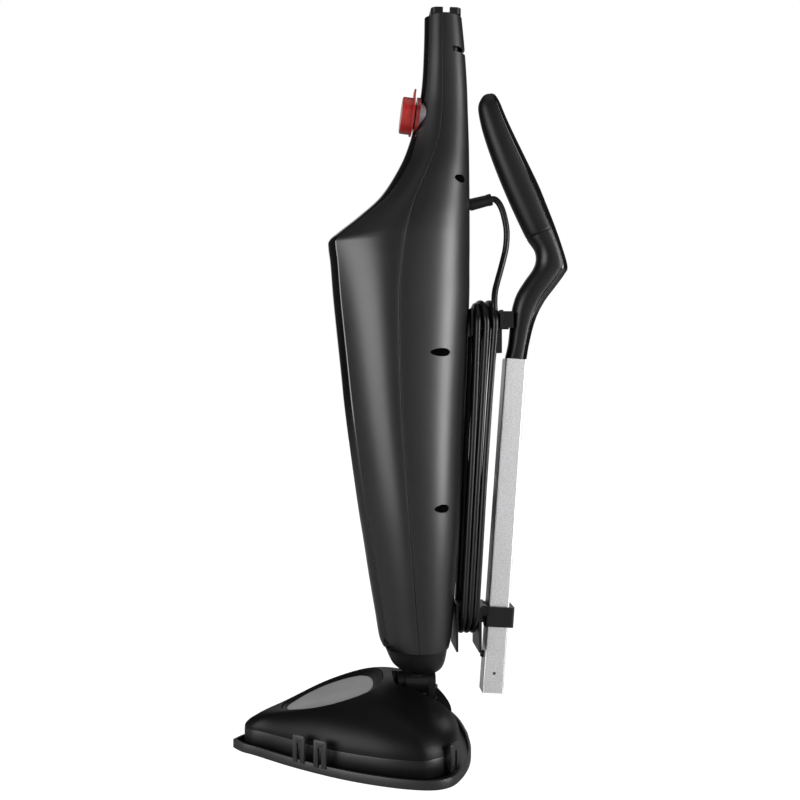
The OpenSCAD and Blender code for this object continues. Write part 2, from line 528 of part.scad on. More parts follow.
CS = [0, 0.15, 0.32, 0.5, 0.66, 0.79, 0.88, 0.94, 0.98, 1];
module head_cover() {
    color([0.02, 0.02, 0.02]) difference() {
        skin([for (i = [0 : len(OD) - 1]) concat([for (s = CS) cover_pt(i, s, 0)],
            [for (s = [0.965, 0.9, 0.82, 0.7, 0.55, 0.35, 0]) cover_pt(i, s, head_wall)])], loop = true);
        box(-recess_hw, recess_hw, -10, 90, 10, 100);
    }
}
function dish_z(k) = 7.5 * (1 - pow(k, 4));
module head_panel() {
    color([0.25, 0.25, 0.27]) skin(concat(
        [for (k = [0.02, 0.4, 0.7, 0.98]) [for (p = rev(OD)) let (c = [0, -66], q = c + (p - c) * k) [q[0], q[1], rim_z(q[1]) - dish_z(k) - 2.4]]],
        [for (k = [0.98, 0.85, 0.7, 0.5, 0.3, 0.02]) [for (p = rev(OD)) let (c = [0, -66], q = c + (p - c) * k) [q[0], q[1], rim_z(q[1]) - dish_z(k) - 0.2]]]));
}

front_shell();
front_panel();
rear_shell();
housing_screws();
screw_posts();
handle_socket();
bottom_skirt();
water_tank();
filler_neck();
boiler();
pump();
steam_hose();
cap_knob();
cap_flange();
cap_seat();
cord_boot();
upper_bracket();
lower_bracket();
handle_tube();
snap_button();
snap_spring();
grip_elbow();
grip_soft();
grip_spine();
grip_plug();
cord_winding();
cord_lead();
cord_tail();
plug_body();
plug_pins();
swivel_stem();
swivel_block();
tilt_axle();
pivot_cradle();
glider_tray();
head_base();
steam_plate();
head_cover();
head_panel();
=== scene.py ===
"""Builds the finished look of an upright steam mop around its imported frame."""

from __future__ import annotations

import json
import logging
import math
from dataclasses import dataclass, field
from enum import Enum
from typing import Any, Iterable, Sequence

import bpy
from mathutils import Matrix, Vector
from mathutils.bvhtree import BVHTree

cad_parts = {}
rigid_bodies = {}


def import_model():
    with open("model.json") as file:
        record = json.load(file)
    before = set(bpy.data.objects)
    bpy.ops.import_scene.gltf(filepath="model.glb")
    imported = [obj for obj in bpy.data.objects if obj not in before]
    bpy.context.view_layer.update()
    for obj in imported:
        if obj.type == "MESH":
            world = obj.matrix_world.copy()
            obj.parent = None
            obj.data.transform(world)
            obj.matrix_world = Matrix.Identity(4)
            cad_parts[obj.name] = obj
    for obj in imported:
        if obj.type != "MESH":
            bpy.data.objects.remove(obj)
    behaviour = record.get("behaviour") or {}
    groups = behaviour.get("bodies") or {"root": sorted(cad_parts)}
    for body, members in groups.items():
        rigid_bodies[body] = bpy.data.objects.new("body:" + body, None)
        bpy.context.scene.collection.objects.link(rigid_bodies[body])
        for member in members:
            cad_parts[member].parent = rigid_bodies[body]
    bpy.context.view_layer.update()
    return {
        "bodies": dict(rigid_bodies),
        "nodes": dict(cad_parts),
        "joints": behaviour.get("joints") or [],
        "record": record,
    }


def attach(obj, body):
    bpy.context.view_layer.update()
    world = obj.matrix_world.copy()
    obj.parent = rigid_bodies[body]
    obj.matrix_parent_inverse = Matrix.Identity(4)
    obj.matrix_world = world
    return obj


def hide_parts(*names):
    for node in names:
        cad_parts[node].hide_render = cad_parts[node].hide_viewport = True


LOG = logging.getLogger("steam_mop")
MM = 0.001
CRISP = 32.0  # edges that turn more than this many degrees stay crisp
SQUARENESS = 0.87  # exponent of the housing's rounded sections
Point = tuple[float, ...]
Ring = list[Point]


# ---------------------------------------------------------------- shader maths
class Value:
    """A node socket that Python's operators can be used on."""

    def __init__(self, graph: "Graph", socket: Any) -> None:
        """Keeps the socket and the graph that it belongs to."""
        self.graph = graph
        self.socket = socket

    def _math(self, operation: str, a: Any, b: Any) -> "Value":
        """Adds one Math node for an operator and returns its result."""
        return self.graph.node("ShaderNodeMath", {"operation": operation}, {0: a, 1: b})

    def __add__(self, other: Any) -> "Value":
        """Adds."""
        return self._math("ADD", self, other)

    __radd__ = __add__

    def __mul__(self, other: Any) -> "Value":
        """Multiplies."""
        return self._math("MULTIPLY", self, other)

    __rmul__ = __mul__

    def __sub__(self, other: Any) -> "Value":
        """Subtracts."""
        return self._math("SUBTRACT", self, other)

    def __rsub__(self, other: Any) -> "Value":
        """Subtracts this from a number."""
        return self._math("SUBTRACT", other, self)

    def between(self, low: float, high: float) -> "Value":
        """Maps this from low..high to 0..1 and clamps it.

        Args:
            low: the value that becomes 0.
            high: the value that becomes 1.

        Returns:
            The mapped value.
        """
        spread = {"Value": self, "From Min": low, "From Max": high}
        return self.graph.node("ShaderNodeMapRange", {"clamp": True}, spread)


class Graph:
    """A material's node tree with its shader and output in place."""

    def __init__(self, name: str) -> None:
        """Makes an empty material of that name."""
        self.material = bpy.data.materials.new(name)
        self.material.use_nodes = True
        self.tree = self.material.node_tree
        self.tree.nodes.clear()
        self.shader = self.tree.nodes.new("ShaderNodeBsdfPrincipled")
        output = self.tree.nodes.new("ShaderNodeOutputMaterial")
        self.tree.links.new(self.shader.outputs[0], output.inputs["Surface"])

    def feed(self, target: Any, value: Any) -> None:
        """Links a value to an input, or sets the input to a constant.

        Args:
            target: the input socket.
            value: a Value, a number or a colour.
        """
        if isinstance(value, Value):
            self.tree.links.new(value.socket, target)
        else:
            target.default_value = value

    def node(self, kind: str, settings: dict[str, Any], inputs: dict[Any, Any], out: Any = 0) -> Value:
        """Adds any node.

        Args:
            kind: the node's type.
            settings: properties, set before anything is linked.
            inputs: a value for each input, by name or number.
            out: the output wanted, by name or number.

        Returns:
            The output as a Value.
        """
        made = self.tree.nodes.new(kind)
        for key, value in settings.items():
            setattr(made, key, value)
        for key, value in inputs.items():
            self.feed(made.inputs[key], value)
        return Value(self, made.outputs[out])

    def place(self, stretch: Point = (1.0, 1.0, 1.0)) -> Value:
        """Gives the object's own coordinates, stretched along its axes."""
        own = self.node("ShaderNodeTexCoord", {}, {}, "Object")
        return self.node("ShaderNodeMapping", {}, {"Vector": own, "Scale": stretch})

    def noise(self, scale: float, detail: float = 2.0, stretch: Point = (1.0, 1.0, 1.0)) -> Value:
        """Gives a noise between 0 and 1 on the object's coordinates.

        Args:
            scale: how many cells there are to a metre.
            detail: the number of finer layers.
            stretch: the scale along each axis.

        Returns:
            The noise.
        """
        return self.node("ShaderNodeTexNoise", {}, {"Vector": self.place(stretch), "Scale": scale, "Detail": detail})

    def blend(self, share: Value, first: Point, second: Point) -> Value:
        """Mixes two colours by a share.

        Args:
            share: 0 for the first colour and 1 for the second.
            first: the first colour.
            second: the second colour.

        Returns:
            The mixed colour.
        """
        settings = {"data_type": "RGBA"}
        return self.node("ShaderNodeMix", settings, {0: share, 6: (*first, 1.0), 7: (*second, 1.0)}, 2)

    def glow_to_camera(self, strength: float) -> None:
        """Shows a plain white to the camera in place of the shader.

        Args:
            strength: how bright the white is.
        """
        nodes, links = self.material.node_tree.nodes, self.material.node_tree.links
        white, mix = nodes.new("ShaderNodeEmission"), nodes.new("ShaderNodeMixShader")
        white.inputs["Strength"].default_value = strength
        self.feed(mix.inputs[0], self.node("ShaderNodeLightPath", {}, {}, "Is Camera Ray"))
        links.new(self.shader.outputs[0], mix.inputs[1])
        links.new(white.outputs[0], mix.inputs[2])
        out = next(n for n in nodes if n.type == "OUTPUT_MATERIAL")
        links.new(mix.outputs[0], out.inputs["Surface"])

    def relief(self, height: Value, depth_mm: float, strength: float = 1.0) -> None:
        """Feeds a height to the shader's normal through a Bump node.

        Args:
            height: the height, from 0 to 1.
            depth_mm: how high 1 stands.
            strength: the Bump node's strength.
        """
        bump = self.node("ShaderNodeBump", {}, {"Strength": strength, "Distance": depth_mm * MM, "Height": height})
        self.feed(self.shader.inputs["Normal"], bump)


# -------------------------------------------------------------------- finishes
@dataclass(frozen=True)
class Moulding:
    """Moulded plastic or rubber, from polished to stippled."""

    name: str
    colour: Point
    worn: Point
    roughness: float
    spread: float = 0.08
    grain: float = 1500.0
    grain_mm: float = 0.02
    coat: float = 0.0
    shine: float = 0.5

    def build(self) -> bpy.types.Material:
        """Makes the material: cloudy colour, uneven gloss and a fine grain."""
        g = Graph(self.name)
        cloud = g.noise(22.0, 4.0)
        grain = g.noise(self.grain, 3.0)
        handled = g.noise(6.0, 3.0).between(0.42, 0.72)
        g.feed(g.shader.inputs["Base Color"], g.blend(cloud.between(0.35, 0.75), self.colour, self.worn))
        rough = (cloud - 0.5) * self.spread + self.roughness + handled * (self.spread * 0.5) + (grain - 0.5) * 0.05
        g.feed(g.shader.inputs["Roughness"], rough)
        g.shader.inputs["Coat Weight"].default_value = self.coat
        g.shader.inputs["Coat Roughness"].default_value = 0.06
        g.shader.inputs["Specular IOR Level"].default_value = self.shine
        g.relief(grain, self.grain_mm, 0.6)
        return g.material


@dataclass(frozen=True)
class SatinMetal:
    """Metal with fine bright flecks and drawn lines along its length."""

    name: str
    colour: Point
    bright: Point
    roughness: float
    fleck: float = 1300.0
    drawn: Point = (1.0, 1.0, 0.04)

    def build(self) -> bpy.types.Material:
        """Makes the material: flecks in the colour, lines in the roughness."""
        g = Graph(self.name)
        flecks = g.noise(self.fleck, 2.0)
        lines = g.noise(900.0, 2.0, self.drawn)
        tone = g.noise(9.0, 2.0)
        g.feed(g.shader.inputs["Base Color"], g.blend(flecks.between(0.42, 0.66), self.colour, self.bright))
        g.feed(g.shader.inputs["Roughness"], (lines - 0.5) * 0.14 + self.roughness + (tone - 0.5) * 0.08)
        g.shader.inputs["Metallic"].default_value = 1.0
        g.relief(flecks * 0.7 + lines * 0.3, 0.02, 0.5)
        return g.material


class Finish(Enum):
    """Every finish on the mop, under the name of its material slot."""

    HOUSING = Moulding("housing_satin", (0.006, 0.006, 0.0064), (0.008, 0.008, 0.0085), 0.37, 0.04, 2200.0, 0.01)
    COVER = Moulding(
        "cover_gloss", (0.0015, 0.0015, 0.0015), (0.0022, 0.0022, 0.0022), 0.42, 0.04, 500.0, 0.001, shine=0.16
    )
    PANEL = Moulding("panel_gloss", (0.002, 0.002, 0.002), (0.003, 0.003, 0.003), 0.1, 0.03, 400.0, 0.001, 0.2)
    BLACK = Moulding("black_plastic", (0.004, 0.004, 0.004), (0.006, 0.006, 0.006), 0.36, 0.08, 1300.0, 0.02, 0.0, 0.32)
    # A darker, almost unreflective copy of black_plastic for the screw-well cups: painted shade inside the wells.
    WELL = Moulding(
        "black_plastic", (0.001, 0.001, 0.001), (0.0012, 0.0012, 0.0012), 0.9, 0.02, 900.0, 0.001, shine=0.03
    )
    INNER = Moulding("inner_plastic", (0.045, 0.045, 0.05), (0.055, 0.055, 0.06), 0.5)
    TANK = Moulding("tank_plastic", (0.3, 0.34, 0.38), (0.36, 0.4, 0.44), 0.2, 0.05, 300.0, 0.005, 0.2)
    GREY = Moulding("grey_plastic", (0.22, 0.22, 0.23), (0.27, 0.27, 0.28), 0.4)
    ALLOY = SatinMetal("boiler_aluminium", (0.5, 0.5, 0.52), (0.66, 0.66, 0.68), 0.45, 600.0, (1.0, 1.0, 1.0))
    HOSE = Moulding("hose_rubber", (0.28, 0.23, 0.18), (0.34, 0.28, 0.22), 0.55)
    RED = Moulding("cap_red", (0.26, 0.009, 0.008), (0.31, 0.014, 0.012), 0.34, 0.08, 900.0, 0.008, 0.15)
    SEAT = Moulding("seat_dark_red", (0.13, 0.004, 0.006), (0.2, 0.008, 0.01), 0.22, 0.05, 600.0, 0.006, 0.4)
    CORD = Moulding("cord_rubber", (0.003, 0.003, 0.003), (0.004, 0.004, 0.004), 0.3, 0.08, 1700.0, 0.015, 0.0, 0.3)
    TUBE = SatinMetal("tube_aluminium", (0.74, 0.74, 0.75), (0.97, 0.97, 0.98), 0.42, 900.0)
    SOFT = Moulding("grip_soft", (0.003, 0.003, 0.003), (0.004, 0.004, 0.004), 0.44, 0.08, 1900.0, 0.03, 0.0, 0.28)
    BRASS = SatinMetal("pin_brass", (0.6, 0.55, 0.42), (0.78, 0.72, 0.56), 0.25)
    STEEL = SatinMetal("screw_steel", (0.3, 0.3, 0.31), (0.5, 0.5, 0.52), 0.32)
    TRAY = Moulding("tray_plastic", (0.008, 0.008, 0.008), (0.012, 0.012, 0.012), 0.42, 0.08, 1400.0, 0.03)
    DISH = Moulding("grey_panel", (0.21, 0.21, 0.215), (0.27, 0.27, 0.275), 0.34, 0.06, 1600.0, 0.015)

    @property
    def slot(self) -> str:
        """Gives the material slot's name, which the two gloss blacks share."""
        return Finish.PANEL.value.name if self is Finish.COVER else self.value.name

    def material(self) -> bpy.types.Material:
        """Gives the finish's material, built when it is first asked for."""
        found = bpy.data.materials.get("look_" + self.name.lower())
        if found is None:
            found = self.value.build()
            found.name = "look_" + self.name.lower()
        return found


# ---------------------------------------------------------------------- curves
def curve_step(a: float, b: float, c: float, d: float, t: float) -> float:
    """Gives one number of a smooth curve that runs from b to c."""
    return 0.5 * (2 * b + (c - a) * t + (2 * a - 5 * b + 4 * c - d) * t * t + (3 * b - a - 3 * c + d) * t**3)


def smooth_line(points: Sequence[Point], steps: int) -> list[Point]:
    """Runs a smooth curve through points.

    Args:
        points: tuples of any one length.
        steps: how many pieces each span is cut into.

    Returns:
        The finer points, the given ones among them.
    """
    last = len(points) - 1
    out: list[Point] = []
    for i in range(last):
        near = (points[max(i - 1, 0)], points[i], points[i + 1], points[min(i + 2, last)])
        out += [tuple(curve_step(*n, j / steps) for n in zip(*near)) for j in range(steps)]
    return out + [tuple(points[last])]


def bend(a: Point, b: Point, c: Point, steps: int) -> list[Point]:
    """Gives a bend from a to c that is pulled towards b."""
    return [
        tuple((1 - t) ** 2 * p + 2 * t * (1 - t) * q + t * t * r for p, q, r in zip(a, b, c))
        for t in (i / steps for i in range(steps + 1))
    ]


def power(value: float, exponent: float) -> float:
    """Raises a number's size to a power and keeps its sign."""
    return math.copysign(abs(value) ** exponent, value) if value else 0.0


def other_side(half: Sequence[Point]) -> list[Point]:
    """Mirrors points to the other side of the mop."""
    return [(-p[0], *p[1:]) for p in half]


def whole(half: Sequence[Point]) -> list[Point]:
    """Joins a half section, which ends at the middle, to its mirror."""
    return other_side(half) + list(half[-2::-1])


# ---------------------------------------------------------------------- meshes
class Maker:
    """Turns rings of points into finished pieces."""

    @staticmethod
    def add(
        name: str, points: Iterable[Point], faces: Sequence[Sequence[int]], finish: Finish, sharp: float = CRISP
    ) -> Any:
        """Makes one mesh object from points in millimetres.

        Args:
            name: the piece's name.
            points: the points.
            faces: the faces as point numbers.
            finish: the finish it wears.
            sharp: edges that turn more than this many degrees stay crisp.

        Returns:
            The object.
        """
        mesh = bpy.data.meshes.new(name)
        mesh.from_pydata([[c * MM for c in p] for p in points], [], [list(f) for f in faces])
        mesh.validate()
        mesh.materials.append(finish.material())
        mesh.shade_smooth()
        mesh.set_sharp_from_angle(angle=math.radians(sharp))
        made = bpy.data.objects.new(name, mesh)
        bpy.context.scene.collection.objects.link(made)
        return made

    @staticmethod
    def skin_faces(count: int, around: int, closed: bool, strip: bool) -> list[list[int]]:
        """Lists the faces between rings.

        Args:
            count: the number of rings.
            around: the points in each.
            closed: the last ring joins the first.
            strip: the end caps run between the outer and the inner half of a ring.

        Returns:
            The faces.
        """
        faces = []
        for i in range(count if closed else count - 1):
            a, b = i * around, (i + 1) % count * around
            faces += [[a + j, a + (j + 1) % around, b + (j + 1) % around, b + j] for j in range(around)]
        top = (count - 1) * around
        if closed:
            return faces
        if strip:
            for j in range(around // 2 - 1):
                quad = [j, j + 1, around - 2 - j, around - 1 - j]
                faces += [quad[::-1], [top + q for q in quad]]
            return faces
        return faces + [list(range(around))[::-1], [top + j for j in range(around)]]

    @classmethod
    def skin(
        cls,
        name: str,
        rings: Sequence[Ring],
        finish: Finish,
        closed: bool = False,
        strip: bool = False,
        sharp: float = CRISP,
    ) -> Any:
        """Stretches a skin over rings of equal length.

        Args:
            name: the piece's name.
            rings: the rings, in order.
            finish: the finish it wears.
            closed: the last ring joins the first.
            strip: see skin_faces.
            sharp: see add.

        Returns:
            The object.
        """
        around = len(rings[0])
        faces = cls.skin_faces(len(rings), around, closed, strip)
        return cls.add(name, [p for r in rings for p in r], faces, finish, sharp)

    @staticmethod
    def bake(piece: Any) -> None:
        """Turns the piece's modifiers into plain mesh."""
        graph = bpy.context.evaluated_depsgraph_get()
        mesh = bpy.data.meshes.new_from_object(piece.evaluated_get(graph))
        piece.modifiers.clear()
        piece.data = mesh

    @classmethod
    def carve(cls, piece: Any, cutters: Sequence[Any], sharp: float = CRISP) -> None:
        """Cuts other shapes out of a piece and removes them.

        Args:
            piece: the piece that is cut.
            cutters: closed shapes.
            sharp: see add.
        """
        for cutter in cutters:
            cut = piece.modifiers.new("cut", "BOOLEAN")
            cut.operation = "DIFFERENCE"
            cut.solver = "EXACT"
            cut.object = cutter
            cls.bake(piece)
            bpy.data.objects.remove(cutter)
        piece.data.set_sharp_from_angle(angle=math.radians(sharp))

    @classmethod
    def drum(cls, name: str, start: Point, end: Point, radius: float, finish: Finish, around: int = 48) -> Any:
        """Makes a closed round bar between two points."""
        a, b = Vector(start), Vector(end)
        axis = (b - a).normalized()
        side = axis.cross(Vector((1, 0, 0)) if abs(axis.x) < 0.9 else Vector((0, 1, 0))).normalized()
        up = axis.cross(side)
        rings = []
        for centre in (a, b):
            turn = [2 * math.pi * j / around for j in range(around)]
            rings.append([tuple(centre + (side * math.cos(t) + up * math.sin(t)) * radius) for t in turn])
        return cls.skin(name, rings, finish)

    @classmethod
    def block(cls, name: str, low: Point, high: Point, finish: Finish) -> Any:
        """Makes a plain block, to cut with."""
        corners = [(low[0], low[1]), (high[0], low[1]), (high[0], high[1]), (low[0], high[1])]
        return cls.skin(name, [[(*c, low[2]) for c in corners], [(*c, high[2]) for c in corners]], finish)

    @staticmethod
    def settle(piece: Any, body: str, finish: Finish, *nodes: str) -> Any:
        """Puts a piece on its body and hides the CAD solids that it stands for.

        Args:
            piece: the piece.
            body: the body that it moves with.
            finish: its finish, whose slot name goes into the log.
            nodes: the CAD nodes that it replaces.

        Returns:
            The piece.
        """
        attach(piece, body)
        if nodes:
            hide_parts(*nodes)
        LOG.info("%s rides on %s in %s", piece.name, body, finish.slot)
        return piece


# --------------------------------------------------------------------- housing
@dataclass
class Housing:
    """The tall body: two shells, a gloss front panel and the lower skirt."""

    wall: float = 2.2
    panel: float = 1.8
    seam: float = 0.25
    curve_depth: float = 8.0
    screws: tuple[Point, ...] = ((577, 0.72), (401, 0.86), (246, 0.845))
    cap_centre: Point = (0.0, 15.3, 645.0)
    cap_tilt: float = 6.5
    lock_slot: Point = (708.5, 714.5)
    # height, front, joint line, back, half width, half width of the panel
    stations: tuple[Point, ...] = (
        (101, -20, 14, 48, 40, 14), (111, -24, 13, 50, 41, 15), (135, -28, 11, 52.5, 43, 16),
        (172, -34.3, 8, 55, 46.5, 17), (209, -40, 5, 58, 49, 18), (250, -46.5, 2, 60, 50.5, 19),
        (334, -58, -4, 63, 51, 20), (393, -64.5, -6.5, 66, 52, 21), (455, -71, -7, 69, 52, 22),
        (492, -74, -4, 69.3, 50, 22.5), (508, -76, -1.8, 69.5, 48.7, 22.5), (516, -75.4, -0.6, 69.5, 48, 22),
        (524, -67, 1.2, 69.5, 47.2, 21.5), (542, -44.5, 6, 69.5, 44, 20), (563, -22, 13.5, 69.5, 39, 18),
        (592, -3.5, 26, 69.3, 32, 15), (617, 7, 35, 69, 26, 12.5), (650, 16, 39.5, 68, 21, 11),
        (680, 20.5, 40, 67, 19, 10), (717, 22.4, 40, 64.5, 18, 9.5), (747, 23, 40, 61.5, 17.5, 9),
    )
    skirt: tuple[Point, ...] = (
        (74.5, 1.5, 14.5, 36, 18), (78.5, -3.5, 14.5, 40.5, 25), (84, -10, 14.4, 43.2, 30.5),
        (90, -13.6, 14.3, 44.6, 34), (98, -17, 14.2, 46, 37), (100.8, -18.3, 14.2, 46.6, 38.2),
    )

    def levels(self, steps: int = 8) -> list[Point]:
        """Gives the sections between the stations."""
        return smooth_line(self.stations, steps)

    def wrap(self, s: Point) -> float:
        """Gives how far the panel wraps back, which is less on the narrow neck."""
        return min(self.curve_depth, max(4.0, 4.0 + (s[5] - 11.0) * 1.2))

    def side(self, s: Point, inset: float, edge: float, rounded: bool) -> list[Point]:
        """Gives the half section of the front shell's flank.

        Args:
            s: the station.
            inset: how far inside the outer face it lies.
            edge: how far it stops short of the panel.
            rounded: the edge at the joint line is rounded.

        Returns:
            The points from the joint line to the panel's edge.
        """
        width, front = s[4] - inset, s[1] + self.wrap(s)
        line = bend(
            (width, s[2]), (width, s[2] - 0.55 * (s[2] - front)), (s[5] - 0.4 * inset, front + 0.8 * inset + edge), 14
        )
        if rounded:
            line = [(width - 0.8, s[2]), (width - 0.22, s[2] - 0.22), (width, s[2] - 0.8)] + line[1:]
        else:
            line = [line[0], (width, s[2] - 0.3), (width, s[2] - 0.8), *line[1:]]
        return line

    def face(self, s: Point, gap: float, depth: float, lip: float = 0.0) -> list[Point]:
        """Gives the half section of the front panel, or of a face behind it."""
        edge = (s[5] - gap, s[1] + self.wrap(s) + depth)
        line = bend(edge, (edge[0] * 0.6, s[1] + depth), (0.0, s[1] + depth), 8)
        if lip:
            line = [(edge[0], edge[1] + lip), (edge[0] - 0.15, edge[1] + lip * 0.3)] + line[1:]
        return line

    def back(self, s: Point, inset: float) -> list[Point]:
        """Gives the half section of the rear shell."""
        start = s[2] + self.seam
        depth = s[3] - inset - start
        line = []
        for i in range(25):
            a = math.radians(90 * i / 24)
            across = (s[4] - inset) * power(math.cos(a), SQUARENESS) if i < 24 else 0.0
            line.append((across, start + depth * power(math.sin(a), SQUARENESS)))
        if inset:
            return line
        width = s[4]
        return [(width - 0.8, start), (width - 0.22, start + 0.22)] + [(width, start + 0.8)] + line[3:]

    def front_shell(self) -> Any:
        """Builds the flanks, with a step that the panel lies in."""
        rings = []
        for s in self.levels():
            outer = whole(self.side(s, 0, 0, True) + self.face(s, 0.1, self.panel + self.seam))
            inner = whole(
                self.side(s, self.wall, self.panel + 0.6, False)
                + self.face(s, 1.6 + self.wall * 0.6, self.panel + self.seam + self.wall)
            )
            rings.append([(*p, s[0]) for p in outer + inner[::-1]])
        shell = Maker.skin("flank_shell", rings, Finish.HOUSING, strip=True)
        Maker.carve(shell, [self.cap_bore()])
        return Maker.settle(shell, "housing", Finish.HOUSING, "front_shell")

    def cap_bore(self) -> Any:
        """Makes the shape that opens the shells for the filler neck."""
        y, z = self.cap_centre[1:]
        lean = math.radians(self.cap_tilt)
        ends = [(0.0, y - d * math.cos(lean), z + d * math.sin(lean)) for d in (-18, 20)]
        return Maker.drum("bore", ends[0], ends[1], 15.4, Finish.BLACK)

    def front_panel(self) -> Any:
        """Builds the gloss band that runs from the neck over the chin to the foot."""
        rings = []
        for s in self.levels():
            outer = whole(self.face(s, self.seam + 0.1, 0, 0.9))
            inner = whole(self.face(s, self.seam + 0.1, self.panel, 0.01))
            rings.append([(*p, s[0]) for p in outer + inner[::-1]])
        band = Maker.skin("front_band", rings, Finish.PANEL, strip=True)
        Maker.carve(band, [self.cap_bore()])
        return Maker.settle(band, "housing", Finish.PANEL, "front_panel")

    def rear_shell(self) -> Any:
        """Builds the rounded back with its screw wells and the lock slot."""
        rings = []
        for s in self.levels():
            outer, inner = self.back(s, 0), self.back(s, self.wall)
            loop = outer + other_side(outer[-2::-1]) + other_side(inner) + inner[-2::-1]
            rings.append([(*p, s[0]) for p in loop])
        shell = Maker.skin("back_shell", rings, Finish.HOUSING, strip=True)
        cutters = [Maker.block("slot", (-30, 50.5, self.lock_slot[0]), (30, 90, self.lock_slot[1]), Finish.BLACK)]
        for z, share in self.screws:
            y, w = self.at(z, 2), self.at(z, 4)
            for m in (-1, 1):
                x = m * w * share
                cutters.append(Maker.drum("well", (x, y + 5, z), (x, 90, z), 4.2, Finish.BLACK))
        h, y = 12.75, 44.0
        octagon = [(h, h - 3), (h - 3, h), (3 - h, h), (-h, h - 3), (-h, 3 - h), (3 - h, -h), (h - 3, -h), (h, 3 - h)]
        cutters.append(Maker.skin("well", [[(a, y + b, k) for a, b in octagon] for k in (670, 760)], Finish.BLACK))
        Maker.carve(shell, cutters)
        return Maker.settle(shell, "housing", Finish.HOUSING, "rear_shell")

    def at(self, height: float, column: int) -> float:
        """Reads one measure of the housing at a height."""
        fine = self.levels()
        for low, high in zip(fine, fine[1:]):
            if low[0] <= height <= high[0]:
                share = (height - low[0]) / (high[0] - low[0])
                return low[column] + share * (high[column] - low[column])
        return self.stations[-1][column]

    def screw_wells(self) -> None:
        """Lines each screw well with a cup whose lip lies just under the skin; the cup wears a near-black, unreflective
        copy of the black plastic, which is painted shade in the well.
        """
        turn = [math.radians(7.5 * i) for i in range(48)]
        for n, (z, share) in enumerate(self.screws):
            for side in (-1, 1):
                x, floor = self.at(z, 4) * share, self.at(z, 2) + 9.6
                rings = []
                for radius, sunk in ((4.15, None), (4.15, 0.3), (3.7, 0.5), (3.7, None)):
                    ring = []
                    for a in turn:
                        px, pz = x + radius * math.cos(a), z + radius * math.sin(a)
                        low = floor if radius > 4 else floor + 0.8
                        y = low if sunk is None else max(self.surface(pz, px / self.at(pz, 4)) - sunk, low + 0.5)
                        ring.append((side * px, y, pz))
                    rings.append(ring)
                # The cup's finish is painted shade: a near-black, matte copy of the black plastic.
                cup = Maker.skin(f"screw_well_{n}_{'left' if side < 0 else 'right'}", rings, Finish.WELL, sharp=40.0)
                Handle.outward(cup)
                Maker.settle(cup, "housing", Finish.WELL)

    def surface(self, height: float, share: float) -> float:
        """Gives how far back the rear shell reaches at a share of its half width."""
        exponent = 1 / SQUARENESS * 2
        depth = self.at(height, 3) - self.at(height, 2)
        return self.at(height, 2) + depth * (1 - share**exponent) ** (1 / exponent)

    def lower_skirt(self) -> Any:
        """Builds the tapering skirt round the swivel's stem."""
        outer = [self.oval(s, 0) for s in smooth_line(self.skirt, 5)]
        inner = [self.oval((s[0] + 1.2, *s[1:]), 2.4) for s in smooth_line(self.skirt[:4], 5)]
        lip = [self.oval((74.5, 2.2, 14.5, 35.3, 17.3), 0), self.oval((74.6, *self.skirt[0][1:]), 2.2)]
        rings = outer[::-1] + lip + inner
        piece = Maker.skin("lower_skirt", rings, Finish.BLACK, sharp=50.0)
        piece.data.flip_normals()
        return Maker.settle(piece, "housing", Finish.BLACK, "bottom_skirt")

    @staticmethod
    def oval(s: Point, inset: float) -> Ring:
        """Gives a closed ring of the skirt."""
        z, front, middle, rear, width = s[:5]
        ring = []
        for i in range(72):
            a = math.radians(5 * i)
            c, n = math.cos(a), math.sin(a)
            reach = (middle - front - inset) if n < 0 else (rear - middle - inset)
            ring.append(((width - inset) * power(c, SQUARENESS), middle + reach * power(n, SQUARENESS), z))
        return ring

    def build(self) -> None:
        """Builds every piece of the housing."""
        self.front_shell()
        self.front_panel()
        self.rear_shell()
        self.screw_wells()
        self.lower_skirt()


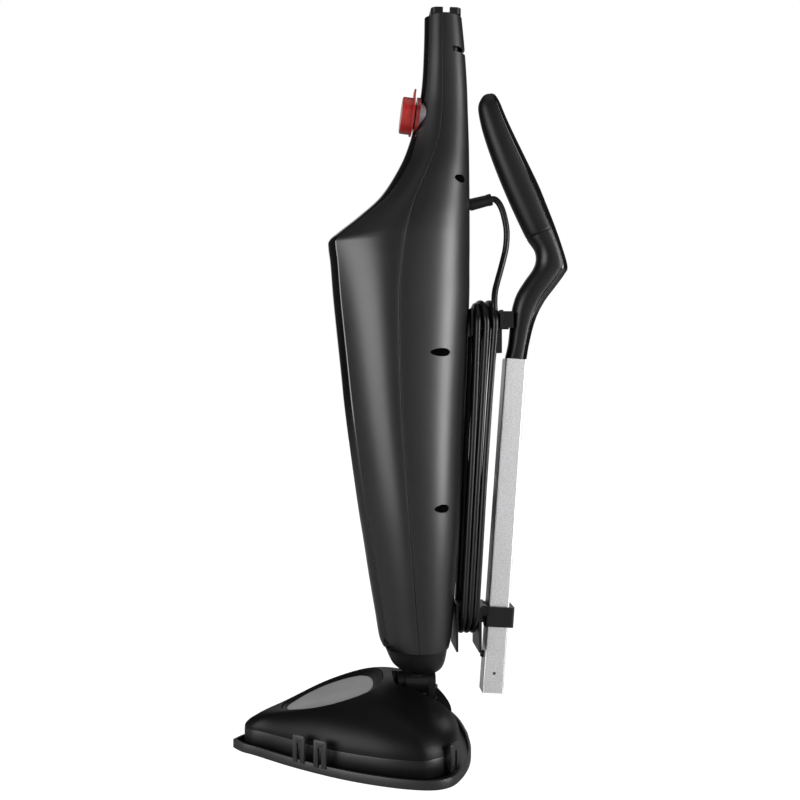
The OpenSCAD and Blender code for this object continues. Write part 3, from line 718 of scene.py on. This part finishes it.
# ---------------------------------------------------------------------- handle
@dataclass
class Handle:
    """The bent grip on the parked tube: elbow, soft inside and gloss spine."""

    sections: tuple[tuple[Point, Point, float], ...] = (
        ((107.2, 396.5), (129.6, 395.5), 11), ((110.6, 412), (132, 410), 11.4), ((112.8, 432), (136.5, 429), 12),
        ((114.8, 448), (142, 444), 12.6), ((119.5, 463), (150, 458), 13.2), ((128, 477), (160, 471), 13.8),
        ((136.5, 489), (169.5, 484), 14.3), ((140, 499), (172.8, 491.5), 14.8), ((138.5, 509), (168.5, 508), 15),
        ((130.6, 520.5), (160, 532.5), 15.4), ((121.3, 539), (152, 552.5), 16), ((111.5, 560), (142.5, 575.5), 16.2),
        ((102, 582), (132, 597), 16), ((93, 605), (121.5, 618), 15.4), ((85.5, 627), (112, 637.5), 14.4),
        ((81, 644), (106, 651), 13), ((79.2, 658), (101.5, 662), 10.5), ((83, 667), (97.5, 669), 6),
        ((86.5, 670.2), (94.8, 671.2), 2.6),
    )
    steps: int = 6
    soft_from: int = 9
    spine_half: float = 61.0

    def ring(self, section: Point, first: float, last: float, count: int, shrink: float = 0.0) -> Ring:
        """Gives a closed ring of part of a grip section.

        Args:
            section: front edge, back edge and half width, as one tuple.
            first: the angle that it starts at, with 0 at the back.
            last: the angle that it ends at.
            count: the number of points.
            shrink: how far inside the face it lies.

        Returns:
            The ring.
        """
        fy, fz, by, bz, width = section
        my, mz, dy, dz = (fy + by) / 2, (fz + bz) / 2, (by - fy) / 2, (bz - fz) / 2
        less = 1 - shrink / math.hypot(dy, dz)
        out = []
        for i in range(count):
            a = math.radians(first + (last - first) * i / (count - 1))
            u, v = power(math.cos(a), 0.9) * less, power(math.sin(a), 0.9)
            out.append((-v * (width - shrink), my + dy * u, mz + dz * u))
        return out

    def flat_sections(self) -> list[Point]:
        """Gives the sections along the grip, each as one tuple."""
        return smooth_line([(*s[0], *s[1], s[2]) for s in self.sections], self.steps)

    def part(
        self, name: str, rows: Sequence[Point], first: float, last: float, finish: Finish, node: str, round_ends: bool
    ) -> Any:
        """Builds one lengthwise part of the grip.

        Args:
            name: the piece's name.
            rows: the sections that it covers.
            first: the angle that its outline starts at.
            last: the angle that it ends at.
            finish: its finish.
            node: the CAD node that it replaces.
            round_ends: its lowest edge is eased.

        Returns:
            The piece.
        """
        span = last - first
        eased = [first + 0.4, *[first + 1.6 + (span - 3.2) * i / 46 for i in range(47)], last - 0.4]
        rings = []
        for k, row in enumerate(rows):
            shrink = 0.7 if round_ends and k == 0 else 0.2 if round_ends and k == 1 else 0.0
            ring = []
            for j, angle in enumerate(eased):
                lip = 0.5 if j in (0, len(eased) - 1) else 0.0
                ring += self.ring(row, angle, angle + 1, 2, shrink + lip)[:1]
            rings.append(ring)
        piece = Maker.skin(name, rings, finish, sharp=40.0)
        self.outward(piece)
        return Maker.settle(piece, "handle", finish, node)

    @staticmethod
    def outward(piece: Any) -> None:
        """Turns the faces of a closed piece outwards."""
        mesh = piece.data
        volume = 0.0
        for face in mesh.polygons:
            corners = [mesh.vertices[v].co for v in face.vertices]
            for b, c in zip(corners[1:], corners[2:]):
                volume += corners[0].dot(b.cross(c))
        if volume < 0:
            mesh.flip_normals()

    def build(self) -> None:
        """Builds the three parts of the grip."""
        rows = self.flat_sections()
        joint = self.soft_from * self.steps
        self.part("grip_bend", rows[: joint + 1], 62, 298, Finish.BLACK, "grip_elbow", False)
        upper = [self.lifted(rows[joint], 0.25)] + [self.lifted(rows[joint], 0.7)] + rows[joint + 1 :]
        self.part("grip_inside", upper, 62, 298, Finish.SOFT, "grip_soft", True)
        self.part("grip_outside", rows, -self.spine_half, self.spine_half, Finish.PANEL, "grip_spine", False)

    @staticmethod
    def lifted(row: Point, up: float) -> Point:
        """Moves a section a little way up the grip."""
        return (row[0] - up * 0.45, row[1] + up, row[2] - up * 0.45, row[3] + up, row[4])


# ------------------------------------------------------------------------ cord
@dataclass
class Cord:
    """The mains cord: a lead from the boot, the turns on the brackets and a tail."""

    radius: float = 3.25
    lead: tuple[Point, ...] = (
        (0, 89.7, 560.6), (0, 94.6, 561.9), (0, 98, 560.6), (0, 101.6, 556.4), (0, 105.2, 548), (0, 108.2, 535),
        (0, 109, 524), (0.5, 107.9, 511), (2, 105, 499), (5, 101.4, 487), (9, 97.6, 475.5), (13.5, 94.2, 464),
        (17.2, 92.9, 451),
    )
    tail: tuple[Point, ...] = (
        (-35, 75, 158), (-38, 73, 168), (-42, 70.5, 178), (-46, 68, 188), (-48, 66.5, 197), (-48.5, 66, 206),
    )
    upper: float = 428.4
    lower: float = 141.0
    columns_top: Point = (75.6, 84.8, 94.0)
    columns_low: Point = (60.2, 66.2, 72.2)
    layers: Point = (19.35, 25.2)
    turns: tuple[Point, ...] = ((2, 0), (1, 0), (0, 0), (0, 1), (1, 1))

    def across(self, column: float, height: float) -> float:
        """Gives how far back a column of turns lies at a height."""
        share = (height - 121.6) / (447.8 - 121.6)
        i = min(int(column), 1)
        part = column - i
        low = self.columns_low[i] + part * (self.columns_low[i + 1] - self.columns_low[i])
        top = self.columns_top[i] + part * (self.columns_top[i + 1] - self.columns_top[i])
        return low + share * (top - low)

    def strand(self, number: int, side: int, column: float, reach: float, upward: bool) -> list[Point]:
        """Gives one straight run between the folds, with a little slack in it."""
        out = []
        for k in range(1, 8):
            t = k / 8
            z = self.lower + (self.upper - self.lower) * (t if upward else 1 - t)
            wave = math.sin(math.pi * t)
            sway = wave * (1.3 * math.sin(2.4 * column + 0.6) + 0.35 * math.sin(5.0 * t + column + 0.2 * number))
            out.append((side * (reach + 0.5 * wave), self.across(column, z) + sway, z))
        return out

    def fold(self, column: tuple[float, float], reach: tuple[float, float], top: bool) -> list[Point]:
        """Gives a half turn over or under a bracket arm.

        Args:
            column: the column that it leaves and the one that it joins.
            reach: the same for the layer's radius.
            top: it is an upper fold, which runs from the far side to the near one.

        Returns:
            Its points.
        """
        out = []
        for k in range(9):
            t = k / 8
            r = reach[0] + (reach[1] - reach[0]) * t
            c = column[0] + (column[1] - column[0]) * t
            angle = math.pi * (1 - t if top else t)
            centre = self.upper if top else self.lower
            z = centre + r * math.sin(angle) * (1 if top else -1)
            out.append((r * math.cos(angle), self.across(c, z), z))
        return out

    def route(self) -> list[Point]:
        """Gives the whole centreline, from the boot to the plug."""
        line = list(self.lead)
        for n, (column, layer) in enumerate(self.turns):
            reach = self.layers[layer]
            line += self.strand(n, 1, column, reach, False) if n else [
                (self.layers[0], self.across(2, z), z) for z in (436, 405, 360, 300, 240, 190, 160)
            ]
            line += self.fold((column, column), (reach, reach), False)
            line += self.strand(n + 9, -1, column, reach, True)
            after = self.turns[n + 1] if n + 1 < len(self.turns) else (2, 1)
            line += self.fold((column, after[0]), (reach, self.layers[after[1]]), True)
        line += self.strand(7, 1, 2, self.layers[1], False)
        line += self.fold((2, 2), (self.layers[1], self.layers[1]), False)
        line += [(-27.2, 73.6, 148)]
        return smooth_line(line + list(self.tail), 3)

    def build(self, frame: dict[str, Any]) -> Any:
        points = self.route()
        data = bpy.data.curves.new("mains_cord", "CURVE")
        data.dimensions = "3D"
        data.bevel_depth = self.radius * MM
        data.bevel_resolution = 3
        data.use_fill_caps = True
        line = data.splines.new("POLY")
        line.points.add(len(points) - 1)
        for spot, p in zip(line.points, points):
            spot.co = (p[0] * MM, p[1] * MM, p[2] * MM, 1.0)
        line.use_smooth = True
        data.materials.append(Finish.CORD.material())
        cord = bpy.data.objects.new("mains_cord", data)
        bpy.context.scene.collection.objects.link(cord)
        Maker.settle(cord, "housing", Finish.CORD, "cord_winding", "cord_lead", "cord_tail")
        return cord


# ------------------------------------------------------------------ floor head
@dataclass
class FloorHead:
    """The triangular head: tray with clips, tub, gloss cover and dished panel."""

    tray: tuple[Point, ...] = (
        (0, -172.5), (13, -163), (25, -148), (58.7, -109), (91.2, -63), (112.8, -20), (122, 14),
        (117, 34), (99.8, 47), (72, 58.6), (40, 65.5), (0, 68),
    )
    tub: tuple[Point, ...] = (
        (0, -161), (10, -153), (20, -138), (48, -104), (73, -71), (95.2, -28.5), (105, 3.3),
        (104, 18), (92, 35), (70, 47.4), (38, 54), (0, 56),
    )
    dish: tuple[Point, ...] = (
        (0, -124), (9, -122), (17, -115), (31, -98), (40, -80), (43.5, -62), (42.5, -46),
        (38, -34), (29, -26), (19, -22), (9, -20.3), (0, -20),
    )
    steps: int = 9
    rim: float = 9.0
    rim_wall: float = 2.6
    floor: float = 2.0
    deck: float = 21.0
    wall: float = 2.4
    dish_depth: float = 7.5
    dish_centre: Point = (0.0, -66.0)
    inlay_centre: Point = (0.0, -69.0)
    inlay_size: Point = (0.86, 0.84)
    recess_half: float = 26.5
    recess_front: float = -9.9
    clips: tuple[Point, ...] = ((62, -104.5, 52), (77.5, -84.2, 55), (93, 42.2, 143))

    def loop(self, outline: Sequence[Point]) -> list[Point]:
        """Closes a half outline with its mirror."""
        half = smooth_line(outline, self.steps)
        return half + other_side(half[-2:0:-1])

    @staticmethod
    def inset(loop: Sequence[Point], by: float) -> list[Point]:
        """Moves an outline inwards."""
        out = []
        for i, p in enumerate(loop):
            a, b = loop[i - 1], loop[(i + 1) % len(loop)]
            dx, dy = b[0] - a[0], b[1] - a[1]
            size = math.hypot(dx, dy)
            out.append((p[0] - by * dy / size, p[1] + by * dx / size))
        return out

    @staticmethod
    def rim_height(y: float) -> float:
        """Gives the height of the dish's rim, which slopes to the tip."""
        return 40 + 0.3 * (y + 124)

    @staticmethod
    def fall(share: float) -> float:
        """Gives how far the cover has fallen between rim and tub."""
        return 0.75 * (1 - math.sqrt(max(1 - share * share, 0))) + 0.25 * share

    def wall_band(self, name: str, loop: Sequence[Point], profile: Sequence[Point], finish: Finish) -> Any:
        """Runs a closed profile round an outline.

        Args:
            name: the piece's name.
            loop: the outline.
            profile: pairs of inset and height.
            finish: its finish.

        Returns:
            The piece.
        """
        lines = [[(*p, z) for p in self.inset(loop, inward)] for inward, z in profile]
        rings = [list(column) for column in zip(*lines)]
        piece = Maker.skin(name, rings, finish, closed=True, sharp=45.0)
        Handle.outward(piece)
        return piece

    def glider(self) -> Any:
        """Builds the tray's rim and floor."""
        loop = self.loop(self.tray)
        profile = [(0.5, 0), (0.1, 0.2), (0, 0.8), (0, self.rim - 0.8), (0.25, self.rim - 0.2), (0.8, self.rim),
                   (self.rim_wall - 0.6, self.rim), (self.rim_wall - 0.1, self.rim - 0.3),
                   (self.rim_wall, self.rim - 0.9),
                   (self.rim_wall, self.floor + 0.8), (self.rim_wall + 0.6, self.floor), (7.0, self.floor), (7.0, 0)]
        rim = self.wall_band("glider_rim", loop, profile, Finish.TRAY)
        Maker.settle(rim, "floor_head", Finish.TRAY, "glider_tray")
        faces = [[(*p, z) for p in self.inset(loop, 6.9)] for z in (0.02, self.floor - 0.02)]
        plate = Maker.skin("glider_floor", faces, Finish.TRAY)
        Handle.outward(plate)
        slots = [
            Maker.block("slot", (i * 20 - 4, -60 + abs(i) * 12, -1), (i * 20 + 4, 30, 10), Finish.TRAY)
            for i in range(-3, 4)
        ]
        Maker.carve(plate, slots)
        return Maker.settle(plate, "floor_head", Finish.TRAY)

    def clip_row(self) -> Any:
        """Sets the slotted clips round the tray with Geometry Nodes."""
        outline = [(-7, 0), (-1.8, 0), (-1.8, 18.2), (-1.1, 19), (1.1, 19), (1.8, 18.2), (1.8, 0), (7, 0),
                   (7, 25.2), (6.2, 26), (-6.2, 26), (-7, 25.2)]
        plate = [[(x, y, z) for x, z in outline] for y in (-1.2, 1.2)]
        clip = Maker.skin("clip_shape", plate, Finish.TRAY)
        Handle.outward(clip)
        ease = clip.modifiers.new("ease", "BEVEL")
        ease.width, ease.segments, ease.limit_method = 0.35 * MM, 2, "ANGLE"
        Maker.bake(clip)
        clip.data.set_sharp_from_angle(angle=math.radians(30))
        places, turns = [], []
        for x, y, turn in self.clips:
            places += [(x, y, self.rim - 2.5), (-x, y, self.rim - 2.5)]
            turns += [(0.0, 0.0, math.radians(turn)), (0.0, 0.0, math.radians(180 - turn))]
        spots = Maker.add("glider_clips", places, [], Finish.TRAY)
        angle = spots.data.attributes.new("turn", "FLOAT_VECTOR", "POINT")
        for item, value in zip(angle.data, turns):
            item.vector = value
        tree = bpy.data.node_groups.new("clip_row", "GeometryNodeTree")
        tree.interface.new_socket("Geometry", in_out="INPUT", socket_type="NodeSocketGeometry")
        shape = tree.interface.new_socket("Clip", in_out="INPUT", socket_type="NodeSocketObject")
        size = tree.interface.new_socket("Clip size", in_out="INPUT", socket_type="NodeSocketFloat")
        tree.interface.new_socket("Geometry", in_out="OUTPUT", socket_type="NodeSocketGeometry")
        nodes, links = tree.nodes, tree.links
        given, result = nodes.new("NodeGroupInput"), nodes.new("NodeGroupOutput")
        info, each = nodes.new("GeometryNodeObjectInfo"), nodes.new("GeometryNodeInstanceOnPoints")
        read = nodes.new("GeometryNodeInputNamedAttribute")
        read.data_type = "FLOAT_VECTOR"
        read.inputs["Name"].default_value = "turn"
        real, dress = nodes.new("GeometryNodeRealizeInstances"), nodes.new("GeometryNodeSetMaterial")
        dress.inputs["Material"].default_value = Finish.TRAY.material()
        links.new(given.outputs["Geometry"], each.inputs["Points"])
        links.new(given.outputs["Clip"], info.inputs["Object"])
        links.new(info.outputs["Geometry"], each.inputs["Instance"])
        links.new(read.outputs[0], each.inputs["Rotation"])
        links.new(given.outputs["Clip size"], each.inputs["Scale"])
        links.new(each.outputs["Instances"], real.inputs["Geometry"])
        links.new(real.outputs["Geometry"], dress.inputs["Geometry"])
        links.new(dress.outputs["Geometry"], result.inputs["Geometry"])
        modifier = spots.modifiers.new("clips", "NODES")
        modifier.node_group = tree
        modifier[shape.identifier] = clip
        modifier[size.identifier] = 1.0
        Maker.bake(spots)
        bpy.data.objects.remove(clip)
        return Maker.settle(spots, "floor_head", Finish.TRAY)

    def tub_wall(self) -> Any:
        """Builds the tub under the cover."""
        low = self.floor + 1.4
        profile = [(0.9, low), (0.3, low + 0.3), (0, low + 1),
                   (0, self.deck - 0.9), (0.3, self.deck - 0.2), (0.9, self.deck),
                   (self.wall, self.deck), (self.wall, low + 3), (20, low + 2.6), (20, low)]
        tub = self.wall_band("head_tub", self.loop(self.tub), profile, Finish.BLACK)
        return Maker.settle(tub, "floor_head", Finish.BLACK, "head_base")

    def cover_rings(self) -> list[Ring]:
        """Gives the cover's section at each point round the dish."""
        rim, tub = self.loop(self.dish), self.loop(self.tub)
        shares = [0, 0.004, 0.012, *[0.03 + 0.92 * i / 26 for i in range(27)], 0.965, 0.98, 0.992, 1.0]
        rings = []
        for a, b in zip(rim, tub):
            top = self.rim_height(a[1])
            ring = []
            for s in shares:
                ease = -0.5 if s == 0 else -0.1 if s < 0.01 else 0.0
                z = top + (self.deck + 0.2 - top) * self.fall(s) + ease
                ring.append((a[0] + (b[0] - a[0]) * s, a[1] + (b[1] - a[1]) * s, z))
            for s in (0.965, 0.9, 0.8, 0.65, 0.5, 0.3, 0.0):
                z = max(top + (self.deck + 0.2 - top) * self.fall(s) - self.wall, self.deck + 0.2)
                ring.append((a[0] + (b[0] - a[0]) * s, a[1] + (b[1] - a[1]) * s, z))
            rings.append(ring)
        return rings

    def recess_path(self, half: float, front: float) -> list[Point]:
        """Gives the U-shaped outline of the swivel's recess."""
        corner = 9.0
        line = [(half, 70.0 - 4 * i) for i in range(18) if 70.0 - 4 * i > front + corner]
        for i in range(9):
            a = math.radians(90 * i / 8)
            line.append((half - corner + corner * math.cos(a), front + corner - corner * math.sin(a)))
        return line + other_side(line[::-1])

    def cover(self) -> Any:
        """Builds the gloss cover and opens it for the swivel."""
        cover = Maker.skin("head_shell", self.cover_rings(), Finish.COVER, closed=True, sharp=45.0)
        Handle.outward(cover)
        seen = BVHTree.FromObject(cover, bpy.context.evaluated_depsgraph_get())
        path = self.recess_path(self.recess_half, self.recess_front)
        cutter = Maker.skin("cutter", [[(*p, z) for p in path] for z in (15, 100)], Finish.COVER)
        Handle.outward(cutter)
        Maker.carve(cover, [cutter], 40.0)
        Maker.settle(cover, "floor_head", Finish.COVER, "head_cover")
        return self.recess_wall(seen)

    def recess_wall(self, seen: BVHTree) -> Any:
        """Lines the recess with a wall that follows the cover's height."""
        rings = []
        outer = self.recess_path(self.recess_half + 1.6, self.recess_front - 1.6)
        inner = self.recess_path(self.recess_half - 0.05, self.recess_front + 0.05)
        for a, b in zip(outer, inner):
            hit = seen.ray_cast(Vector((a[0] * MM, a[1] * MM, 0.2)), Vector((0, 0, -1)))[0]
            top = max(hit.z / MM - 0.7, self.deck + 0.5) if hit else None
            if top is None:
                continue
            rings.append([(*a, self.deck - 1), (*b, self.deck - 1), (*b, top), (*a, top)])
        liner = Maker.skin("recess_wall", rings, Finish.BLACK, sharp=40.0)
        Handle.outward(liner)
        return Maker.settle(liner, "floor_head", Finish.BLACK)

    def panel(self) -> Any:
        """Builds the dished panel in the top of the cover and its grey inlay."""
        loop = self.loop(self.dish)
        cx, cy = self.dish_centre
        rings = []
        for k, drop in [(0.02, 2.4), (0.5, 2.4), (0.98, 2.4), (0.986, 0.9), (0.982, 0.45), (0.97, 0.25)] + [
            (0.95 - 0.93 * i / 30, 0.2) for i in range(31)
        ]:
            ring = []
            for x, y in loop:
                px, py = cx + (x - cx) * k, cy + (y - cy) * k
                ring.append((px, py, self.rim_height(py) - self.dish_depth * (1 - k**4) - drop))
            rings.append(ring)
        dish = Maker.skin("dish_panel", rings, Finish.COVER, sharp=50.0)
        Handle.outward(dish)
        Maker.settle(dish, "floor_head", Finish.COVER, "head_panel")
        return self.inlay(loop)

    def inlay(self, loop: Sequence[Point]) -> Any:
        """Lays the grey inlay in the bottom of the dish.

        Args:
            loop: the dish's outline.

        Returns:
            The inlay.
        """
        cx, cy = self.inlay_centre
        rings = []
        for share, lift in [(0.3, -0.1), (1.0, -0.1), (1.0, 0.08), (0.995, 0.16), (0.985, 0.2)] + [
            (0.96 - 0.94 * i / 24, 0.22) for i in range(25)
        ]:
            ring = []
            for x, y in loop:
                px = cx + (x - self.dish_centre[0]) * share * self.inlay_size[0]
                py = cy + (y - self.dish_centre[1]) * share * self.inlay_size[1]
                ring.append((px, py, self.dish_height(px, py, loop) + lift))
            rings.append(ring)
        inlay = Maker.skin("dish_inlay", rings, Finish.DISH, sharp=50.0)
        Handle.outward(inlay)
        return Maker.settle(inlay, "floor_head", Finish.DISH)

    def dish_height(self, x: float, y: float, loop: Sequence[Point]) -> float:
        """Gives the dish's height at a point inside its outline."""
        cx, cy = self.dish_centre
        k = 0.0
        for (ax, ay), (bx, by) in zip(loop, list(loop[1:]) + [loop[0]]):
            ax, ay, bx, by = ax - cx, ay - cy, bx - cx, by - cy
            size = ax * by - ay * bx
            u = ((x - cx) * by - (y - cy) * bx) / size
            v = (ax * (y - cy) - ay * (x - cx)) / size
            if u >= -1e-9 and v >= -1e-9:
                k = u + v
                break
        return self.rim_height(y) - self.dish_depth * (1 - k**4) - 0.2

    def build(self) -> None:
        """Builds every piece of the head."""
        self.glider()
        self.clip_row()
        self.tub_wall()
        self.cover()
        self.panel()


# ----------------------------------------------------------------- plain parts
@dataclass
class PlainParts:
    """The parts whose CAD shape is final: they only get their finish."""

    finishes: dict[Finish, tuple[str, ...]] = field(
        default_factory=lambda: {
            Finish.BLACK: ("handle_socket", "upper_bracket", "lower_bracket", "snap_button", "swivel_stem",
                           "swivel_block", "pivot_cradle", "plug_body"),
            Finish.INNER: ("screw_posts", "pump", "grip_plug"),
            Finish.TANK: ("water_tank",),
            Finish.GREY: ("filler_neck",),
            Finish.ALLOY: ("boiler", "steam_plate"),
            Finish.HOSE: ("steam_hose",),
            Finish.RED: ("cap_knob", "cap_flange"),
            Finish.SEAT: ("cap_seat",),
            Finish.CORD: ("cord_boot",),
            Finish.TUBE: ("handle_tube",),
            Finish.BRASS: ("plug_pins",),
            Finish.STEEL: ("housing_screws", "snap_spring", "tilt_axle"),
        }
    )

    def dress(self, nodes: dict[str, Any]) -> None:
        """Gives every listed node its finish."""
        for finish, names in self.finishes.items():
            for name in names:
                slots = nodes[name].data.materials
                slots.clear()
                slots.append(finish.material())
                LOG.info("%s wears %s", name, finish.value.name)


# ---------------------------------------------------------------------- studio
@dataclass
class Studio:
    """The camera, a pale floor and soft light."""

    aim: Point = (0.0, -0.0023, 0.3636)
    distance: float = 1.0
    turn: float = 4.5
    lens: float = 43.65

    def camera(self) -> None:
        """Places the camera level with the middle of the mop, from its side."""
        data = bpy.data.cameras.new("camera")
        data.lens, data.sensor_width = self.lens, 36.0
        data.shift_y = -10.0 / 800.0
        data.clip_start = 0.01
        eye = bpy.data.objects.new("camera", data)
        a = math.radians(self.turn)
        away = Vector((math.cos(a), -math.sin(a), 0.0))
        eye.location = Vector(self.aim) + away * self.distance
        eye.rotation_euler = (-away).to_track_quat("-Z", "Y").to_euler()
        bpy.context.scene.collection.objects.link(eye)
        bpy.context.scene.camera = eye

    @staticmethod
    def soft_box(name: str, place: Point, target: Point, size: Point, watts: float) -> None:
        """Hangs one rectangular light.

        Args:
            name: its name.
            place: where it hangs.
            target: what it points at.
            size: its two sides.
            watts: its power.
        """
        data = bpy.data.lights.new(name, "AREA")
        data.shape = "RECTANGLE"
        data.size, data.size_y = size
        data.energy = watts
        lamp = bpy.data.objects.new(name, data)
        lamp.location = place
        lamp.rotation_euler = (Vector(target) - Vector(place)).to_track_quat("-Z", "Y").to_euler()
        bpy.context.scene.collection.objects.link(lamp)

    def floor(self) -> None:
        """Lays a wide pale floor that only catches the light."""
        g = Graph("pale_floor")
        g.feed(g.shader.inputs["Base Color"], g.blend(g.noise(3.0), (0.5, 0.5, 0.5), (0.54, 0.54, 0.54)))
        g.shader.inputs["Roughness"].default_value = 0.9
        g.glow_to_camera(1.1)
        mesh = bpy.data.meshes.new("floor")
        mesh.from_pydata([(-6, -6, -0.0005), (6, -6, -0.0005), (6, 6, -0.0005), (-6, 6, -0.0005)], [], [(0, 1, 2, 3)])
        mesh.materials.append(g.material)
        ground = bpy.data.objects.new("floor", mesh)
        bpy.context.scene.collection.objects.link(ground)

    @staticmethod
    def world() -> None:
        """Makes a white surround that lights the mop only a little."""
        world = bpy.data.worlds.new("studio")
        world.use_nodes = True
        nodes, links = world.node_tree.nodes, world.node_tree.links
        nodes.clear()
        seen, lit = nodes.new("ShaderNodeBackground"), nodes.new("ShaderNodeBackground")
        path, mix = nodes.new("ShaderNodeLightPath"), nodes.new("ShaderNodeMixShader")
        out = nodes.new("ShaderNodeOutputWorld")
        seen.inputs["Color"].default_value = (1, 1, 1, 1)
        seen.inputs["Strength"].default_value = 1.0
        lit.inputs["Color"].default_value = (1, 1, 1, 1)
        lit.inputs["Strength"].default_value = 0.05
        links.new(path.outputs["Is Camera Ray"], mix.inputs[0])
        links.new(lit.outputs[0], mix.inputs[1])
        links.new(seen.outputs[0], mix.inputs[2])
        links.new(mix.outputs[0], out.inputs["Surface"])
        bpy.context.scene.world = world

    def build(self) -> None:
        """Sets up the whole studio."""
        self.camera()
        self.floor()
        self.world()
        middle = (0.0, 0.02, 0.4)
        self.soft_box("rear_key", (0.95, 1.75, 0.5), middle, (0.7, 1.7), 60.0)
        self.soft_box("front_fill", (1.05, -1.6, 0.62), (0.0, -0.05, 0.4), (1.5, 1.4), 44.0)
        self.soft_box("camera_side", (2.4, 0.9, 0.7), middle, (2.0, 2.4), 8.0)
        self.soft_box("top", (0.1, 0.0, 2.2), (0.0, 0.0, 0.0), (1.6, 1.6), 5.0)
        self.soft_box("far_side", (-1.6, 0.0, 0.9), middle, (1.2, 1.2), 3.0)
        bpy.context.scene.view_settings.view_transform = "Standard"


def main() -> None:
    """Builds the mop in order."""
    logging.basicConfig(level=logging.INFO, format="%(name)s: %(message)s")
    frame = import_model()
    Studio().build()
    Cord().build(frame)
    Housing().build()
    Handle().build()
    FloorHead().build()
    PlainParts().dress(frame["nodes"])


if __name__ == "__main__":
    main()
